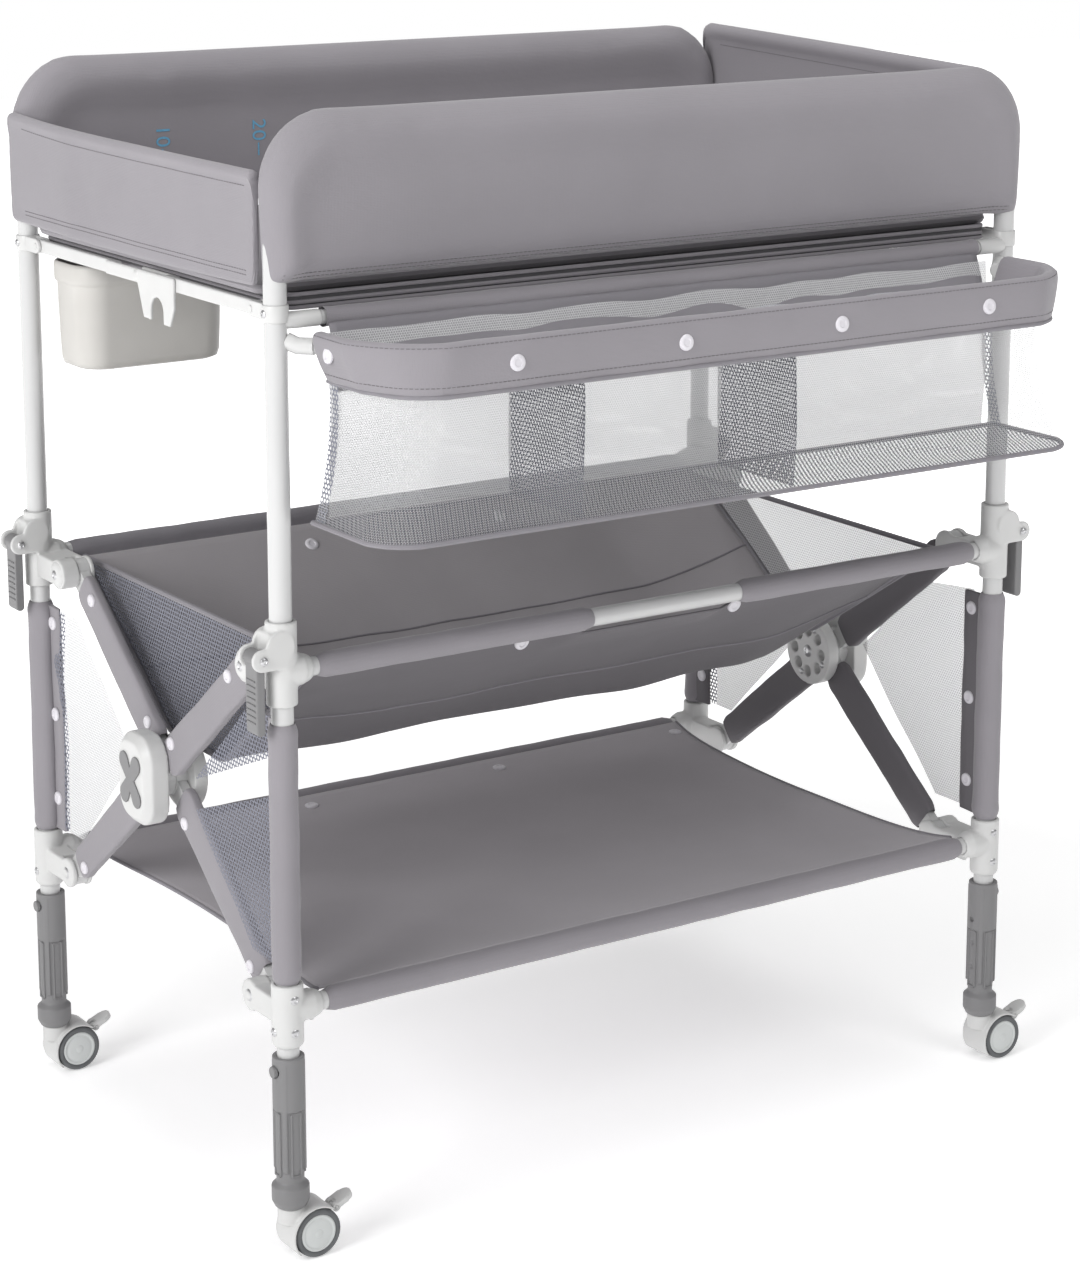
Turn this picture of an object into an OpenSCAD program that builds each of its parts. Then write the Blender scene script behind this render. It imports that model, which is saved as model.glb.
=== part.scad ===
// Folding changing table on casters: two inverted-U frames joined by a pair of
// X braces, with a padded bed, a front tray, a sling basket, a shelf and a basin.
// Millimetres, +Z up. Modules are drawn with X to the right and Y to the rear,
// measured from the middle of the four legs; place() moves them so that the
// origin is on the floor at the centre of the bounding box.

/* [Frame] */
// Distance between left and right legs, centre to centre
leg_span_x = 760; // [700:10:820]
// Distance between front and rear legs, centre to centre
leg_span_y = 467; // [455:1:480]
// Outer diameter of the frame tubes
tube_d = 19; // [18:0.5:20]
// Wall of the frame tubes
tube_wall = 1.2; // [1:0.1:2]
// Height of the axis of each frame's top run
frame_top = 941; // [930:1:950]
// Bend radius at the top corners of the frames
bend_r = 60; // [50:1:62]
// Height of the open lower end of the leg tubes
leg_bottom = 84; // [83:1:90]

/* [Fold] */
// Distance of each brace pivot from its leg axis
pivot_inset = 54; // [50:1:58]
// Height of the lower brace pivots
pivot_low = 216; // [212:1:220]
// Height of the upper brace pivots
pivot_high = 503; // [496:1:510]
// Distance of each top stay pivot from its leg axis
stay_inset = 29.5; // [28:0.5:32]
// Height of the top stays
stay_z = 803; // [800:1:806]

/* [Bed] */
// Length of the padded bed, left to right
bed_length = 794; // [788:1:810]
// Lower edge of the pads
pad_bottom = 824; // [820:1:828]
// Upper edge of the front and rear pads
pad_top = 967; // [960:1:975]
// Thickness of the front and rear pads
pad_thick = 38; // [34:1:42]
// Corner radius of the front and rear pads
pad_corner = 65; // [55:1:70]
// Thickness of the two end walls
end_wall = 12; // [8:1:14]
// Height of the top edge of the low left wall at its middle
low_wall_top = 917; // [900:1:930]

/* [Storage] */
// Height of the basket rails
basket_rail_z = 510; // [505:1:515]
// Height of the lowest part of the basket
basket_bottom = 373; // [360:1:380]
// Height of the bottom rails and the shelf
shelf_z = 221; // [218:1:224]
// Diameter of the cross rails
rail_d = 16; // [14:1:17]
// Front of the tray, measured from the middle of the legs
tray_front = 374; // [360:1:385]
// Upper edge of the tray band
tray_top = 791; // [785:1:795]
// Height of the tray band
tray_band_h = 43; // [38:1:45]
// Height of the pocket floor
pocket_floor = 632; // [620:1:650]

/* [Basin] */
// Left to right size of the basin body
basin_length = 150; // [130:1:160]
// Front to rear size of the basin body
basin_width = 78; // [70:1:80]
// Height of the basin
basin_height = 96; // [80:1:98]

/* [Casters] */
// Wheel diameter
wheel_d = 43; // [40:1:44]
// Distance of the axle behind the swivel axis
trail = 18; // [16:1:20]

/* [Hidden] */
$fn = 48;
eps = 1;
run = 0.05;            // radial clearance of a running fit
slip = 0.2;            // clearance between fixed neighbours
frame_x = -12.25;      // moves the middle of the legs to the bounding box centre
frame_y = 60.75;
leg_x = leg_span_x / 2;
leg_y = leg_span_y / 2;
tube_r = tube_d / 2;
bend_z = frame_top - bend_r;
pad_x = bed_length / 2;
pad_inner_y = leg_y - pad_thick / 2;
pivot_y = leg_y - pivot_inset;
brace_run = 2 * pivot_y;
brace_rise = pivot_high - pivot_low;
brace_len = sqrt(brace_run * brace_run + brace_rise * brace_rise);
brace_angle = atan2(brace_rise, brace_run);
hub_z = (pivot_low + pivot_high) / 2;
stay_y = leg_y - stay_inset;
rail_r = rail_d / 2;
rail_half = leg_x - 12;
// Layers of the folding side, as offsets outward from the leg axis: [inner, outer]
brace_a_layer = [-9.5, 1.5];
brace_b_layer = [-21, -10];
ear_face = 7;
ear_gap = 0.3;
ear_plate = 4;
pin_r = 4;
// Collar and lever
collar_r = 13;
collar_low = 482;
collar_high = 553;
lever_pivot_z = 525;
lever_pivot_x = leg_x + 23.5;
lever_half_y = 9.5;
// Foot and caster
foot_top = 180.5;
foot_bottom = 46.5;
foot_bore_floor = 82;
stem_r = 5;
axle_z = wheel_d / 2;
wheel_r = wheel_d / 2;
wheel_half_y = 16;
hood_r = 24.2;
hood_wall = 1.8;
pedal_x = 40;
pedal_z = 36;
// Tray
band_wall = 16;
band_half_x = 366;
band_corner = 60;
tray_rim_r = 6;
tray_rear_y = leg_y + 10;

white = [0.92, 0.92, 0.91];
fabric_grey = [0.56, 0.54, 0.57];
net_grey = [0.78, 0.79, 0.83];
plastic_grey = [0.47, 0.47, 0.48];
tyre_grey = [0.40, 0.42, 0.44];
basin_white = [0.84, 0.83, 0.80];

// ---- helpers ----------------------------------------------------------------

module place() translate([frame_x, frame_y, 0]) children();

// A right-hand piece and its mirror image on the left
module left_right() {
    children();
    mirror([1, 0, 0]) children();
}

// Moves a shape drawn at the origin to a leg: side is -1 or 1 in x and y
module at_leg(side_x, side_y) place() translate([side_x * leg_x, side_y * leg_y, 0]) children();

module rod_x(length, r) rotate([0, 90, 0]) cylinder(h = length, r = r, center = true);

module rod_y(length, r) rotate([90, 0, 0]) cylinder(h = length, r = r, center = true);

// A cylinder along x from x0 to x1
module rod_between_x(x0, x1, r) translate([x0, 0, 0]) rotate([0, 90, 0]) cylinder(h = x1 - x0, r = r);

// A box given by its low and high corners
module span_box(low, high) translate(low) cube(high - low);

// An inverted U in the plane y = 0
module u_path(r, bottom) {
    left_right() {
        translate([leg_x, 0, bottom]) cylinder(h = bend_z - bottom, r = r);
        translate([leg_x - bend_r, 0, bend_z])
            rotate([90, 0, 0]) rotate_extrude(angle = 90) translate([bend_r, 0]) circle(r = r);
    }
    translate([0, 0, frame_top]) rod_x(2 * (leg_x - bend_r), r);
}

module frame_tube() {
    color(white) difference() {
        u_path(tube_r, leg_bottom);
        u_path(tube_r - tube_wall, leg_bottom - eps);
    }
}

// Upright panel with round top corners, wrapped around the frame tube
module frame_pad() {
    color(fabric_grey) difference() {
        rotate([90, 0, 0]) linear_extrude(pad_thick, center = true) union() {
            translate([-pad_x, pad_bottom]) square([2 * pad_x, pad_top - pad_corner - pad_bottom]);
            translate([pad_corner - pad_x, pad_bottom])
                square([2 * (pad_x - pad_corner), pad_top - pad_bottom]);
            for (side = [-1, 1]) translate([side * (pad_x - pad_corner), pad_top - pad_corner])
                circle(r = pad_corner);
        }
        u_path(tube_r + slip, pad_bottom - eps);
    }
}

// Clevis for a brace end: two ear plates and a web that reaches back to the leg.
// layer is the brace's [inner, outer] offset, inward is the direction to the other leg.
module brace_clevis(layer, height, inward) {
    outer_low = layer[1] + ear_gap;
    inner_high = layer[0] - ear_gap;
    for (plate = [[outer_low, ear_face], [inner_high - ear_plate, inner_high]]) {
        translate([leg_x, inward * pivot_inset, height])
            rod_between_x(plate[0], plate[1], 14);
        span_box(
            [leg_x + plate[0], min(0, inward * pivot_inset), height - 11],
            [leg_x + plate[1], max(0, inward * pivot_inset), height + 11]
        );
    }
    span_box(
        [leg_x + inner_high - ear_plate, min(inward * 6, inward * 37), height - 11],
        [leg_x + ear_face, max(inward * 6, inward * 37), height + 11]
    );
    translate([leg_x, inward * pivot_inset, height])
        rod_between_x(inner_high - ear_plate, ear_face + 2, pin_r);
}

// Socket that holds a cross rail on the inner side of a leg
module rail_socket(height, r, reach) {
    translate([leg_x, 0, height]) rod_between_x(-reach, 0, r);
    translate([leg_x - reach, 0, height]) sphere(r = r - 1);
}

module rail_bore(height) translate([leg_x, 0, height]) rod_between_x(-60, -11.5, rail_r + slip);

module leg_joint(layer, inward) {
    difference() {
        union() {
            translate([leg_x, 0, 192]) cylinder(h = 52, r = 13.5);
            translate([leg_x, 0, 189]) cylinder(h = 3, r1 = 11.5, r2 = 13.5);
            rail_socket(shelf_z, 13, 22);
            brace_clevis(layer, pivot_low, inward);
        }
        translate([leg_x, 0, 180]) cylinder(h = 80, r = tube_r + slip);
        rail_bore(shelf_z);
    }
}

// Sliding collar with the lever's ears on its outer side
module collar(layer, inward) {
    difference() {
        union() {
            translate([leg_x, 0, collar_low]) cylinder(h = collar_high - collar_low, r = collar_r);
            rail_socket(basket_rail_z, 13.5, 17);
            brace_clevis(layer, pivot_high, inward);
            for (side = [-1, 1]) translate([0, side * (lever_half_y + ear_gap + 1.8), 0]) {
                translate([lever_pivot_x, 0, lever_pivot_z]) rod_y(3.6, 9.5);
                span_box([leg_x, -1.8, lever_pivot_z - 9.5], [lever_pivot_x, 1.8, lever_pivot_z + 9.5]);
                translate([leg_x + 7, 0, lever_pivot_z + 9]) rod_y(3.6, 13);
            }
            span_box(
                [leg_x, -lever_half_y - ear_gap, lever_pivot_z - 9],
                [leg_x + 15.5, lever_half_y + ear_gap, lever_pivot_z + 20]
            );
            translate([lever_pivot_x, 0, lever_pivot_z]) rod_y(2 * (lever_half_y + 5), 2.5);
        }
        translate([leg_x, 0, collar_low - eps]) cylinder(h = 90, r = tube_r + run);
        rail_bore(basket_rail_z);
    }
}

module cross_rail(height) {
    color(white) translate([0, 0, height]) difference() {
        rod_x(2 * rail_half, rail_r);
        rod_x(2 * rail_half + 2 * eps, rail_r - tube_wall);
    }
}

// Fabric sleeve around a leg between its joint and its collar
module leg_sleeves() {
    color(fabric_grey) left_right() translate([leg_x, 0, 244.5]) difference() {
        cylinder(h = 222, r = 12);
        translate([0, 0, -eps]) cylinder(h = 222 + 2 * eps, r = tube_r + slip);
    }
}

// Strip of a brace drawn along +x from its lower end, then stood at its angle
module along_brace(lean) {
    translate([leg_x, -lean * pivot_y, pivot_low])
        rotate([lean * brace_angle, 0, 0]) scale([1, lean, 1]) children();
}

// One brace: a flat tube with round, drilled ends and a drilled hub eye.
// It leans to the rear when lean is 1 and to the front when lean is -1.
module brace(layer, lean) {
    thick = layer[1] - layer[0];
    along_brace(lean) difference() {
        union() {
            span_box([layer[0] + 1, 8, -10], [layer[1] - 1, brace_len - 8, 10]);
            for (y = [0, brace_len]) translate([layer[0], y, 0]) rod_between_x(0, thick, 12.5);
            translate([layer[0], brace_len / 2, 0]) rod_between_x(0, thick, 20);
        }
        for (y = [0, brace_len]) translate([layer[0] - eps, y, 0])
            rod_between_x(0, thick + 2 * eps, pin_r + run);
        translate([layer[0] - eps, brace_len / 2, 0]) rod_between_x(0, thick + 2 * eps, 5 + run);
    }
}

// Fabric covers over the brace between its ends and the hub
module brace_sleeves(layer, lean) {
    low = 38;
    high = brace_len / 2 - 40;
    color(fabric_grey) left_right() along_brace(lean)
        for (start = [low, brace_len - high]) difference() {
            span_box([layer[0], start, -12], [layer[1], start + high - low, 12]);
            span_box(
                [layer[0] + 1 - slip / 2, start - eps, -10 - slip],
                [layer[1] - 1 + slip / 2, start + high - low + eps, 10 + slip]
            );
        }
}

module hub_outline(width, height, corner) {
    square([width, height - 2 * corner], center = true);
    square([width - 2 * corner, height], center = true);
    for (sx = [-1, 1], sy = [-1, 1])
        translate([sx * (width / 2 - corner), sy * (height / 2 - corner)]) circle(r = corner);
}

// Path of the tray rim: two sides, two round corners and the front run
module tray_path(r, half_x, front, corner) {
    left_right() {
        translate([half_x, -tray_rear_y, 0]) rotate([90, 0, 0])
            cylinder(h = front - corner - tray_rear_y, r = r);
        translate([half_x - corner, -front + corner, 0])
            rotate([0, 0, -90]) rotate_extrude(angle = 90) translate([corner, 0]) circle(r = r);
    }
    translate([0, -front, 0]) rod_x(2 * (half_x - corner), r);
}

// Flat outline of the tray seen from above, open at the rear
module tray_outline(half_x, front, corner, rear = tray_rear_y) {
    translate([-half_x, corner - front]) square([2 * half_x, front - corner - rear]);
    translate([corner - half_x, -front]) square([2 * (half_x - corner), front - rear]);
    for (side = [-1, 1]) translate([side * (half_x - corner), corner - front]) circle(r = corner);
}

// ---- rear frame ---------------------------------------------------------------

module rear_frame_tube() place() translate([0, leg_y, 0]) frame_tube();

module rear_pad() place() translate([0, leg_y, 0]) frame_pad();

module rear_leg_joints() {
    color(white) place() translate([0, leg_y, 0]) left_right() leg_joint(brace_a_layer, -1);
}

module rear_bottom_rail() place() translate([0, leg_y, 0]) cross_rail(shelf_z);

module rear_leg_sleeves() place() translate([0, leg_y, 0]) leg_sleeves();

// Clamp ring with a clevis for a stay
module stay_bracket(inward) {
    translate([leg_x, 0, stay_z - 11]) cylinder(h = 21, r = 12.5);
    for (side = [-1, 1]) {
        span_box(
            [leg_x + side * 4.8 - 1.5, min(0, inward * stay_inset), stay_z - 7],
            [leg_x + side * 4.8 + 1.5, max(0, inward * stay_inset), stay_z + 7]
        );
        translate([leg_x + side * 4.8 - 1.5, inward * stay_inset, stay_z]) rod_between_x(0, 3, 7);
    }
    translate([leg_x, inward * stay_inset, stay_z]) rod_x(14, 3);
}

module rear_stay_brackets() {
    color(white) place() translate([0, leg_y, 0]) left_right() difference() {
        stay_bracket(-1);
        translate([leg_x, 0, stay_z - 20]) cylinder(h = 40, r = tube_r + slip);
    }
}

// Padded floor of the bed; its upper layer covers the stays and reaches the end walls
module bed_base() {
    low_x = leg_x - 12;
    low_y = leg_y - 7.5;
    high_x = pad_x - end_wall - 1.5;
    high_y = pad_inner_y - 1;
    top = pad_bottom - 0.5;
    color(fabric_grey) place() {
        span_box([-low_x, -low_y, stay_z - 1], [low_x, low_y, stay_z + 12]);
        span_box([-high_x, -high_y, stay_z + 11], [high_x, high_y, top]);
    }
}

// End wall between the pads; tops are the rear, middle and front heights
module wall_panel(rear_top, middle_top, front_top) {
    half = pad_inner_y - 0.5;
    translate([pad_x - 1 - end_wall, 0, 0]) rotate([90, 0, 90]) linear_extrude(end_wall)
        polygon([
            [-half, pad_bottom - 3], [half, pad_bottom - 3],
            [half, rear_top], [0, middle_top], [-half, front_top]
        ]);
}

module end_wall_left() {
    color(fabric_grey) place() mirror([1, 0, 0])
        wall_panel(low_wall_top + 7, low_wall_top, low_wall_top - 1);
}

module end_wall_right() {
    color(fabric_grey) place() wall_panel(pad_top - 2, pad_top - 6, pad_top - 12);
}

module lower_shelf() {
    half_x = rail_half - 22;
    color(fabric_grey) place() translate([0, 0, shelf_z - 1.5]) linear_extrude(3) difference() {
        square([2 * half_x, 2 * (leg_y - 14)], center = true);
        for (side = [-1, 1]) translate([side * (half_x + 900 - 18), 0]) circle(r = 900, $fn = 200);
    }
}

// ---- front frame --------------------------------------------------------------

module front_frame_tube() place() translate([0, -leg_y, 0]) frame_tube();

module front_pad() place() translate([0, -leg_y, 0]) frame_pad();

module front_leg_joints() {
    color(white) place() translate([0, -leg_y, 0]) left_right() leg_joint(brace_b_layer, 1);
}

module front_bottom_rail() place() translate([0, -leg_y, 0]) cross_rail(shelf_z);

module front_leg_sleeves() place() translate([0, -leg_y, 0]) leg_sleeves();

rim_z = tray_top - 14;
rim_half_x = band_half_x - band_wall / 2;
rim_front = tray_front - band_wall / 2;
rear_rail_y = leg_y + 4;
rear_rail_z = 797;

// Tube loop of the tray, closed by the straight rail behind it
module tray_loop(r) {
    translate([0, 0, rim_z]) tray_path(r, rim_half_x, rim_front, band_corner - band_wall / 2);
    translate([0, -rear_rail_y, rear_rail_z]) rod_x(2 * (leg_x - 14), r);
}

module front_tray_brackets() {
    color(white) place() difference() {
        left_right() {
            translate([0, -leg_y, 0]) stay_bracket(1);
            translate([leg_x, -leg_y, 768]) cylinder(h = 26, r = 12.5);
            span_box([leg_x - 32, -leg_y - 24, rim_z - 9], [leg_x - 5, -leg_y + 4, rim_z + 9]);
            translate([leg_x, -rear_rail_y, rear_rail_z]) rod_between_x(-32, -5, 9);
        }
        left_right() translate([leg_x, -leg_y, stay_z - 50]) cylinder(h = 80, r = tube_r + slip);
        tray_loop(tray_rim_r + slip);
    }
}

module tray_rim() color(white) place() tray_loop(tray_rim_r);

module tray_band() {
    color(fabric_grey) place() difference() {
        translate([0, 0, tray_top - tray_band_h]) linear_extrude(tray_band_h) difference() {
            tray_outline(band_half_x, tray_front, band_corner, leg_y + 26);
            tray_outline(
                band_half_x - band_wall, tray_front - band_wall, band_corner - band_wall, leg_y
            );
        }
        tray_loop(tray_rim_r + slip);
    }
}

// Net bag hung in the rim: walls, floor and two dividers. It is open at the top, and its
// rear wall reaches up to the rail.
module pocket_net() {
    top = tray_top - tray_band_h - 0.3;
    half_x = band_half_x - 6;
    front = tray_front - 6;
    corner = band_corner - 26;
    rear = leg_y + 17;
    net = 1.5;
    color(net_grey) place() {
        translate([0, 0, pocket_floor]) linear_extrude(2) tray_outline(half_x, front, corner, rear);
        translate([0, 0, pocket_floor]) linear_extrude(top - pocket_floor) difference() {
            tray_outline(half_x, front, corner, rear);
            tray_outline(half_x - net, front - net, corner - net, rear + net);
        }
        span_box([34 - leg_x, -rear - net, top - eps], [leg_x - 34, -rear, rear_rail_z - 10]);
        for (x = [-172, 42]) span_box([x - 0.8, 1 - front, pocket_floor], [x + 0.8, -rear - 0.5, top]);
    }
}

// ---- braces -------------------------------------------------------------------

module rising_braces() color(white) place() left_right() brace(brace_a_layer, -1);

module rising_brace_sleeves() place() brace_sleeves(brace_a_layer, -1);

module hub_caps() {
    depth = 23;
    color(white) place() left_right() translate([leg_x + brace_a_layer[1], 0, hub_z])
        rotate([90, 0, 90]) union() {
            linear_extrude(depth - 7) hub_outline(60, 82, 24);
            translate([0, 0, depth - 7]) hull() {
                linear_extrude(0.5) hub_outline(60, 82, 24);
                translate([0, 0, 6.5]) linear_extrude(0.5) hub_outline(46, 68, 19, $fn = 32);
            }
            translate([0, 0, -26]) cylinder(h = 30, r = 5);
        }
}

// Four-lobed cross on the face of each hub cap
module hub_badges() {
    color(plastic_grey) place() left_right() translate([leg_x + brace_a_layer[1] + 23, 0, hub_z])
        rotate([90, 0, 90]) linear_extrude(1.2) for (turn = [53, -53]) rotate(turn) {
            square([38, 13], center = true);
            for (end = [-19, 19]) translate([end, 0]) circle(r = 8);
        }
}

module falling_braces() color(white) place() left_right() brace(brace_b_layer, 1);

module falling_brace_sleeves() place() brace_sleeves(brace_b_layer, 1);

// Ribbed backs of the hubs, fixed to the inner faces of the falling braces
module hub_backs() {
    color(white) place() left_right() translate([leg_x + brace_b_layer[0] - 13, 0, hub_z])
        rotate([90, 0, 90]) difference() {
            cylinder(h = 13, r = 34);
            translate([0, 0, -eps]) for (turn = [0:45:315]) rotate(turn) translate([21, 0])
                cylinder(h = 9, r = 5.5);
            translate([0, 0, 6]) cylinder(h = 10, r = 8);
        }
}

// ---- collars, basket and nets ---------------------------------------------------

module front_collars() {
    color(white) place() translate([0, -leg_y, 0]) left_right() collar(brace_a_layer, 1);
}

module rear_collars() {
    color(white) place() translate([0, leg_y, 0]) left_right() collar(brace_b_layer, -1);
}

module front_basket_rail() place() translate([0, -leg_y, 0]) cross_rail(basket_rail_z);

module rear_basket_rail() place() translate([0, leg_y, 0]) cross_rail(basket_rail_z);

// Fabric rolled around the front rail, leaving a bare grip in the middle
module front_rail_wraps() {
    grip_half = 79;
    color(fabric_grey) place() translate([0, -leg_y, basket_rail_z]) left_right() difference() {
        rod_between_x(grip_half, rail_half - 19, rail_r + 2.5);
        rod_between_x(grip_half - eps, rail_half, rail_r + slip);
    }
}

// Ends of the sling along X, at the rails and at its bottom
sling_top_x = [-339, 339];
sling_low_x = [-336, 336];

// Sling that hangs between the two basket rails
module basket_sling() {
    top_y = leg_y - 14;
    wall = 3;
    outline = [
        [-top_y, basket_rail_z + 3], [-108, 420], [-52, basket_bottom],
        [52, basket_bottom], [108, 420], [top_y, basket_rail_z + 3]
    ];
    color(fabric_grey) place() intersection() {
        rotate([90, 0, 90]) linear_extrude(800, center = true) difference() {
            polygon(outline);
            polygon([
                [-top_y + 4, basket_rail_z + 4], [wall - 108, 422], [wall / 2 - 52, basket_bottom + wall],
                [52 - wall / 2, basket_bottom + wall], [108 - wall, 422], [top_y - 4, basket_rail_z + 4]
            ]);
        }
        rotate([90, 0, 0]) linear_extrude(600, center = true) polygon([
            [sling_top_x[0], basket_rail_z + 3], [sling_low_x[0], basket_bottom],
            [sling_low_x[1], basket_bottom], [sling_top_x[1], basket_rail_z + 3]
        ]);
    }
}

// Sloping nets that close the two ends of the basket, just outside the sling
module side_nets() {
    net = 1.5;
    color(net_grey) place() for (end = [0, 1]) {
        outward = end == 0 ? -1 : 1;
        top_x = sling_top_x[end] + outward * 1.4;
        low_x = sling_low_x[end] + outward * 3.4;
        hull() {
            translate([top_x, 0, basket_rail_z - 2.5]) cube([net, 2 * (leg_y - 14), 1], center = true);
            translate([low_x, 0, basket_bottom + 2.5]) cube([net, 104, 1], center = true);
        }
    }
}

// ---- top stays and basin --------------------------------------------------------

// Flat bar from a stay pivot toward the middle; toward is the direction to the middle
module stay_bar(toward) {
    stop = 45;
    difference() {
        union() {
            span_box(
                [leg_x - 3, min(-toward * stay_y, -toward * stop), stay_z - 6],
                [leg_x + 3, max(-toward * stay_y, -toward * stop), stay_z + 6]
            );
            translate([leg_x - 3, -toward * stay_y, stay_z]) rod_between_x(0, 6, 6.5);
        }
        translate([leg_x - 5, -toward * stay_y, stay_z]) rod_between_x(0, 10, 3 + run);
    }
}

// Rear halves carry the outer hook plate with its two prongs
module rear_stays() {
    color(white) place() left_right() {
        stay_bar(-1);
        translate([leg_x + 3, 0, 0]) rotate([90, 0, 90]) linear_extrude(3.2) difference() {
            union() {
                translate([-64, stay_z - 6]) square([64 + 60, 12]);
                polygon([
                    [-68, stay_z + 6], [-68, stay_z - 20], [-60, stay_z - 36],
                    [-12, stay_z - 34], [-2, stay_z - 8], [-2, stay_z + 6]
                ]);
            }
            translate([-37, stay_z - 26]) circle(r = 12);
            translate([-49, stay_z - 50]) square([24, 24]);
        }
        translate([leg_x + 3, 0, stay_z]) rod_between_x(0, 5, 4);
    }
}

module front_stays() {
    color(white) place() left_right() {
        stay_bar(1);
        translate([leg_x - 6.2, -58, stay_z - 6]) cube([3.2, 66, 12]);
        translate([leg_x - 8, 0, stay_z]) rod_between_x(0, 4, 4);
    }
}

basin_low = [-371, 140, 694];

module basin_outline(grow) {
    corner = 26;
    translate([basin_length / 2, basin_width / 2])
        hub_outline(basin_length + 2 * grow, basin_width + 2 * grow, corner + grow);
}

// Open-topped tub with a rolled rim
module basin() {
    wall = 2.5;
    color(basin_white) place() translate(basin_low) difference() {
        union() {
            linear_extrude(basin_height) basin_outline(-2);
            translate([0, 0, basin_height - 20]) linear_extrude(20) basin_outline(0.6);
        }
        translate([0, 0, wall]) linear_extrude(basin_height) basin_outline(-2 - wall);
        translate([basin_length - 6, basin_width / 2 - 9, basin_height - 15]) cube([12, 18, 9]);
    }
}

// ---- levers ---------------------------------------------------------------------

module lever(side_x, side_y) {
    pivot = [lever_pivot_x - leg_x, 0, lever_pivot_z];
    color(plastic_grey) at_leg(side_x, side_y) scale([side_x, 1, 1]) difference() {
        union() {
            translate(pivot) rod_y(2 * lever_half_y, 7);
            span_box(
                pivot + [-3.5, -lever_half_y, -60],
                pivot + [4.5, lever_half_y, 0]
            );
            translate(pivot + [0.5, 0, -60]) rod_y(2 * lever_half_y, 4);
        }
        translate(pivot) rod_y(40, 2.5 + run);
    }
}

module lever_front_left() lever(-1, -1);

module lever_front_right() lever(1, -1);

module lever_rear_left() lever(-1, 1);

module lever_rear_right() lever(1, 1);

// ---- feet and height buttons ------------------------------------------------------

button_z = 168;
button_r = 5;

module foot(side_x, side_y) {
    color(plastic_grey) at_leg(side_x, side_y) difference() {
        union() {
            translate([0, 0, foot_bottom]) cylinder(h = 6, r1 = 13, r2 = 16);
            translate([0, 0, foot_bottom + 6]) cylinder(h = 13, r = 16);
            translate([0, 0, foot_bottom + 19]) cylinder(h = 4, r1 = 16, r2 = 11.8);
            translate([0, 0, foot_bottom + 20]) cylinder(h = 70, r = 11.8);
            translate([0, 0, 82]) cylinder(h = foot_top - 82, r = 12.2);
            translate([0, 0, 134]) cylinder(h = foot_top - 134, r = 13.6);
            for (turn = [45:90:315]) rotate(turn) span_box([9, -2.2, 80], [14, 2.2, foot_top - 4]);
        }
        translate([0, 0, foot_bore_floor]) cylinder(h = 120, r = tube_r + run);
        translate([0, 0, foot_bottom - eps]) cylinder(h = 20, r = stem_r + run);
        for (step = [0:2]) translate([side_x * -14, 0, 96 + step * 24]) rod_x(7, 2.6);
        translate([side_x * 12.35, 0, button_z]) rod_x(4.2, button_r + 0.08);
    }
}

module foot_front_left() foot(-1, -1);

module foot_front_right() foot(1, -1);

module foot_rear_left() foot(-1, 1);

module foot_rear_right() foot(1, 1);

module button(side_x, side_y) {
    color(white) at_leg(side_x, side_y)
        translate([side_x * 14.2, 0, button_z]) rod_x(3.6, button_r);
}

module button_front_left() button(-1, -1);

module button_front_right() button(1, -1);

module button_rear_left() button(-1, 1);

module button_rear_right() button(1, 1);

// ---- casters ----------------------------------------------------------------------

// Swivelling fork: stem, centre web and a hood over the back of the twin wheels
module fork(side_x, side_y) {
    web_half = 4.5;
    color(white) at_leg(side_x, side_y) {
        translate([0, 0, 36]) cylinder(h = foot_bottom - 36 + 17, r = stem_r);
        difference() {
            union() {
                translate([trail, 0, axle_z]) rod_y(2 * wheel_half_y + 1, hood_r);
                translate([0, 0, 32]) cylinder(h = foot_bottom - 0.5 - 32, r = 11.5);
            }
            for (side = [-1, 1]) translate([trail, side * (web_half + 20), axle_z])
                rod_y(40, hood_r - hood_wall);
            translate([trail, -30, 0]) rotate([0, 20, 0]) translate([0, 0, -10]) cube([80, 60, 90]);
            translate([-30, -30, -20]) cube([90, 60, 26]);
            translate([trail, 0, axle_z]) rod_y(60, 3 + run);
        }
        translate([trail, 0, axle_z]) difference() {
            rod_y(2 * web_half, 15);
            rod_y(20, 3 + run);
        }
        span_box([trail + 6, -web_half, axle_z + 4], [pedal_x - 5, web_half, pedal_z]);
        translate([pedal_x, 0, pedal_z]) rod_y(16, 1.8);
        translate([pedal_x - 8, -2, pedal_z - 4]) cube([8, 4, 5]);
    }
}

module fork_front_left() fork(-1, -1);

module fork_front_right() fork(1, -1);

module fork_rear_left() fork(-1, 1);

module fork_rear_right() fork(1, 1);

// Two wheels on one axle
module wheels(side_x, side_y) {
    gap_half = 4.8;
    color(tyre_grey) at_leg(side_x, side_y) translate([trail, 0, axle_z]) {
        rod_y(2 * wheel_half_y - 2, 3);
        for (side = [-1, 1]) translate([0, side * (gap_half + wheel_half_y) / 2, 0])
            rod_y(wheel_half_y - gap_half, wheel_r);
    }
}

module wheels_front_left() wheels(-1, -1);

module wheels_front_right() wheels(1, -1);

module wheels_rear_left() wheels(-1, 1);

module wheels_rear_right() wheels(1, 1);

// Brake pedal that tips down about its pin
module pedal(side_x, side_y) {
    color(white) at_leg(side_x, side_y) translate([pedal_x, 0, pedal_z]) difference() {
        union() {
            rod_y(15, 3.8);
            rotate([0, -24, 0]) span_box([1, -8, -1.8], [12, 8, 3.2]);
            rotate([0, -24, 0]) translate([12, 0, -1.8]) cylinder(h = 5, r = 7.2);
        }
        rod_y(30, 1.8 + run);
        rod_y(4.8, 4.4);
    }
}

module pedal_front_left() pedal(-1, -1);

module pedal_front_right() pedal(1, -1);

module pedal_rear_left() pedal(-1, 1);

module pedal_rear_right() pedal(1, 1);

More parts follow.
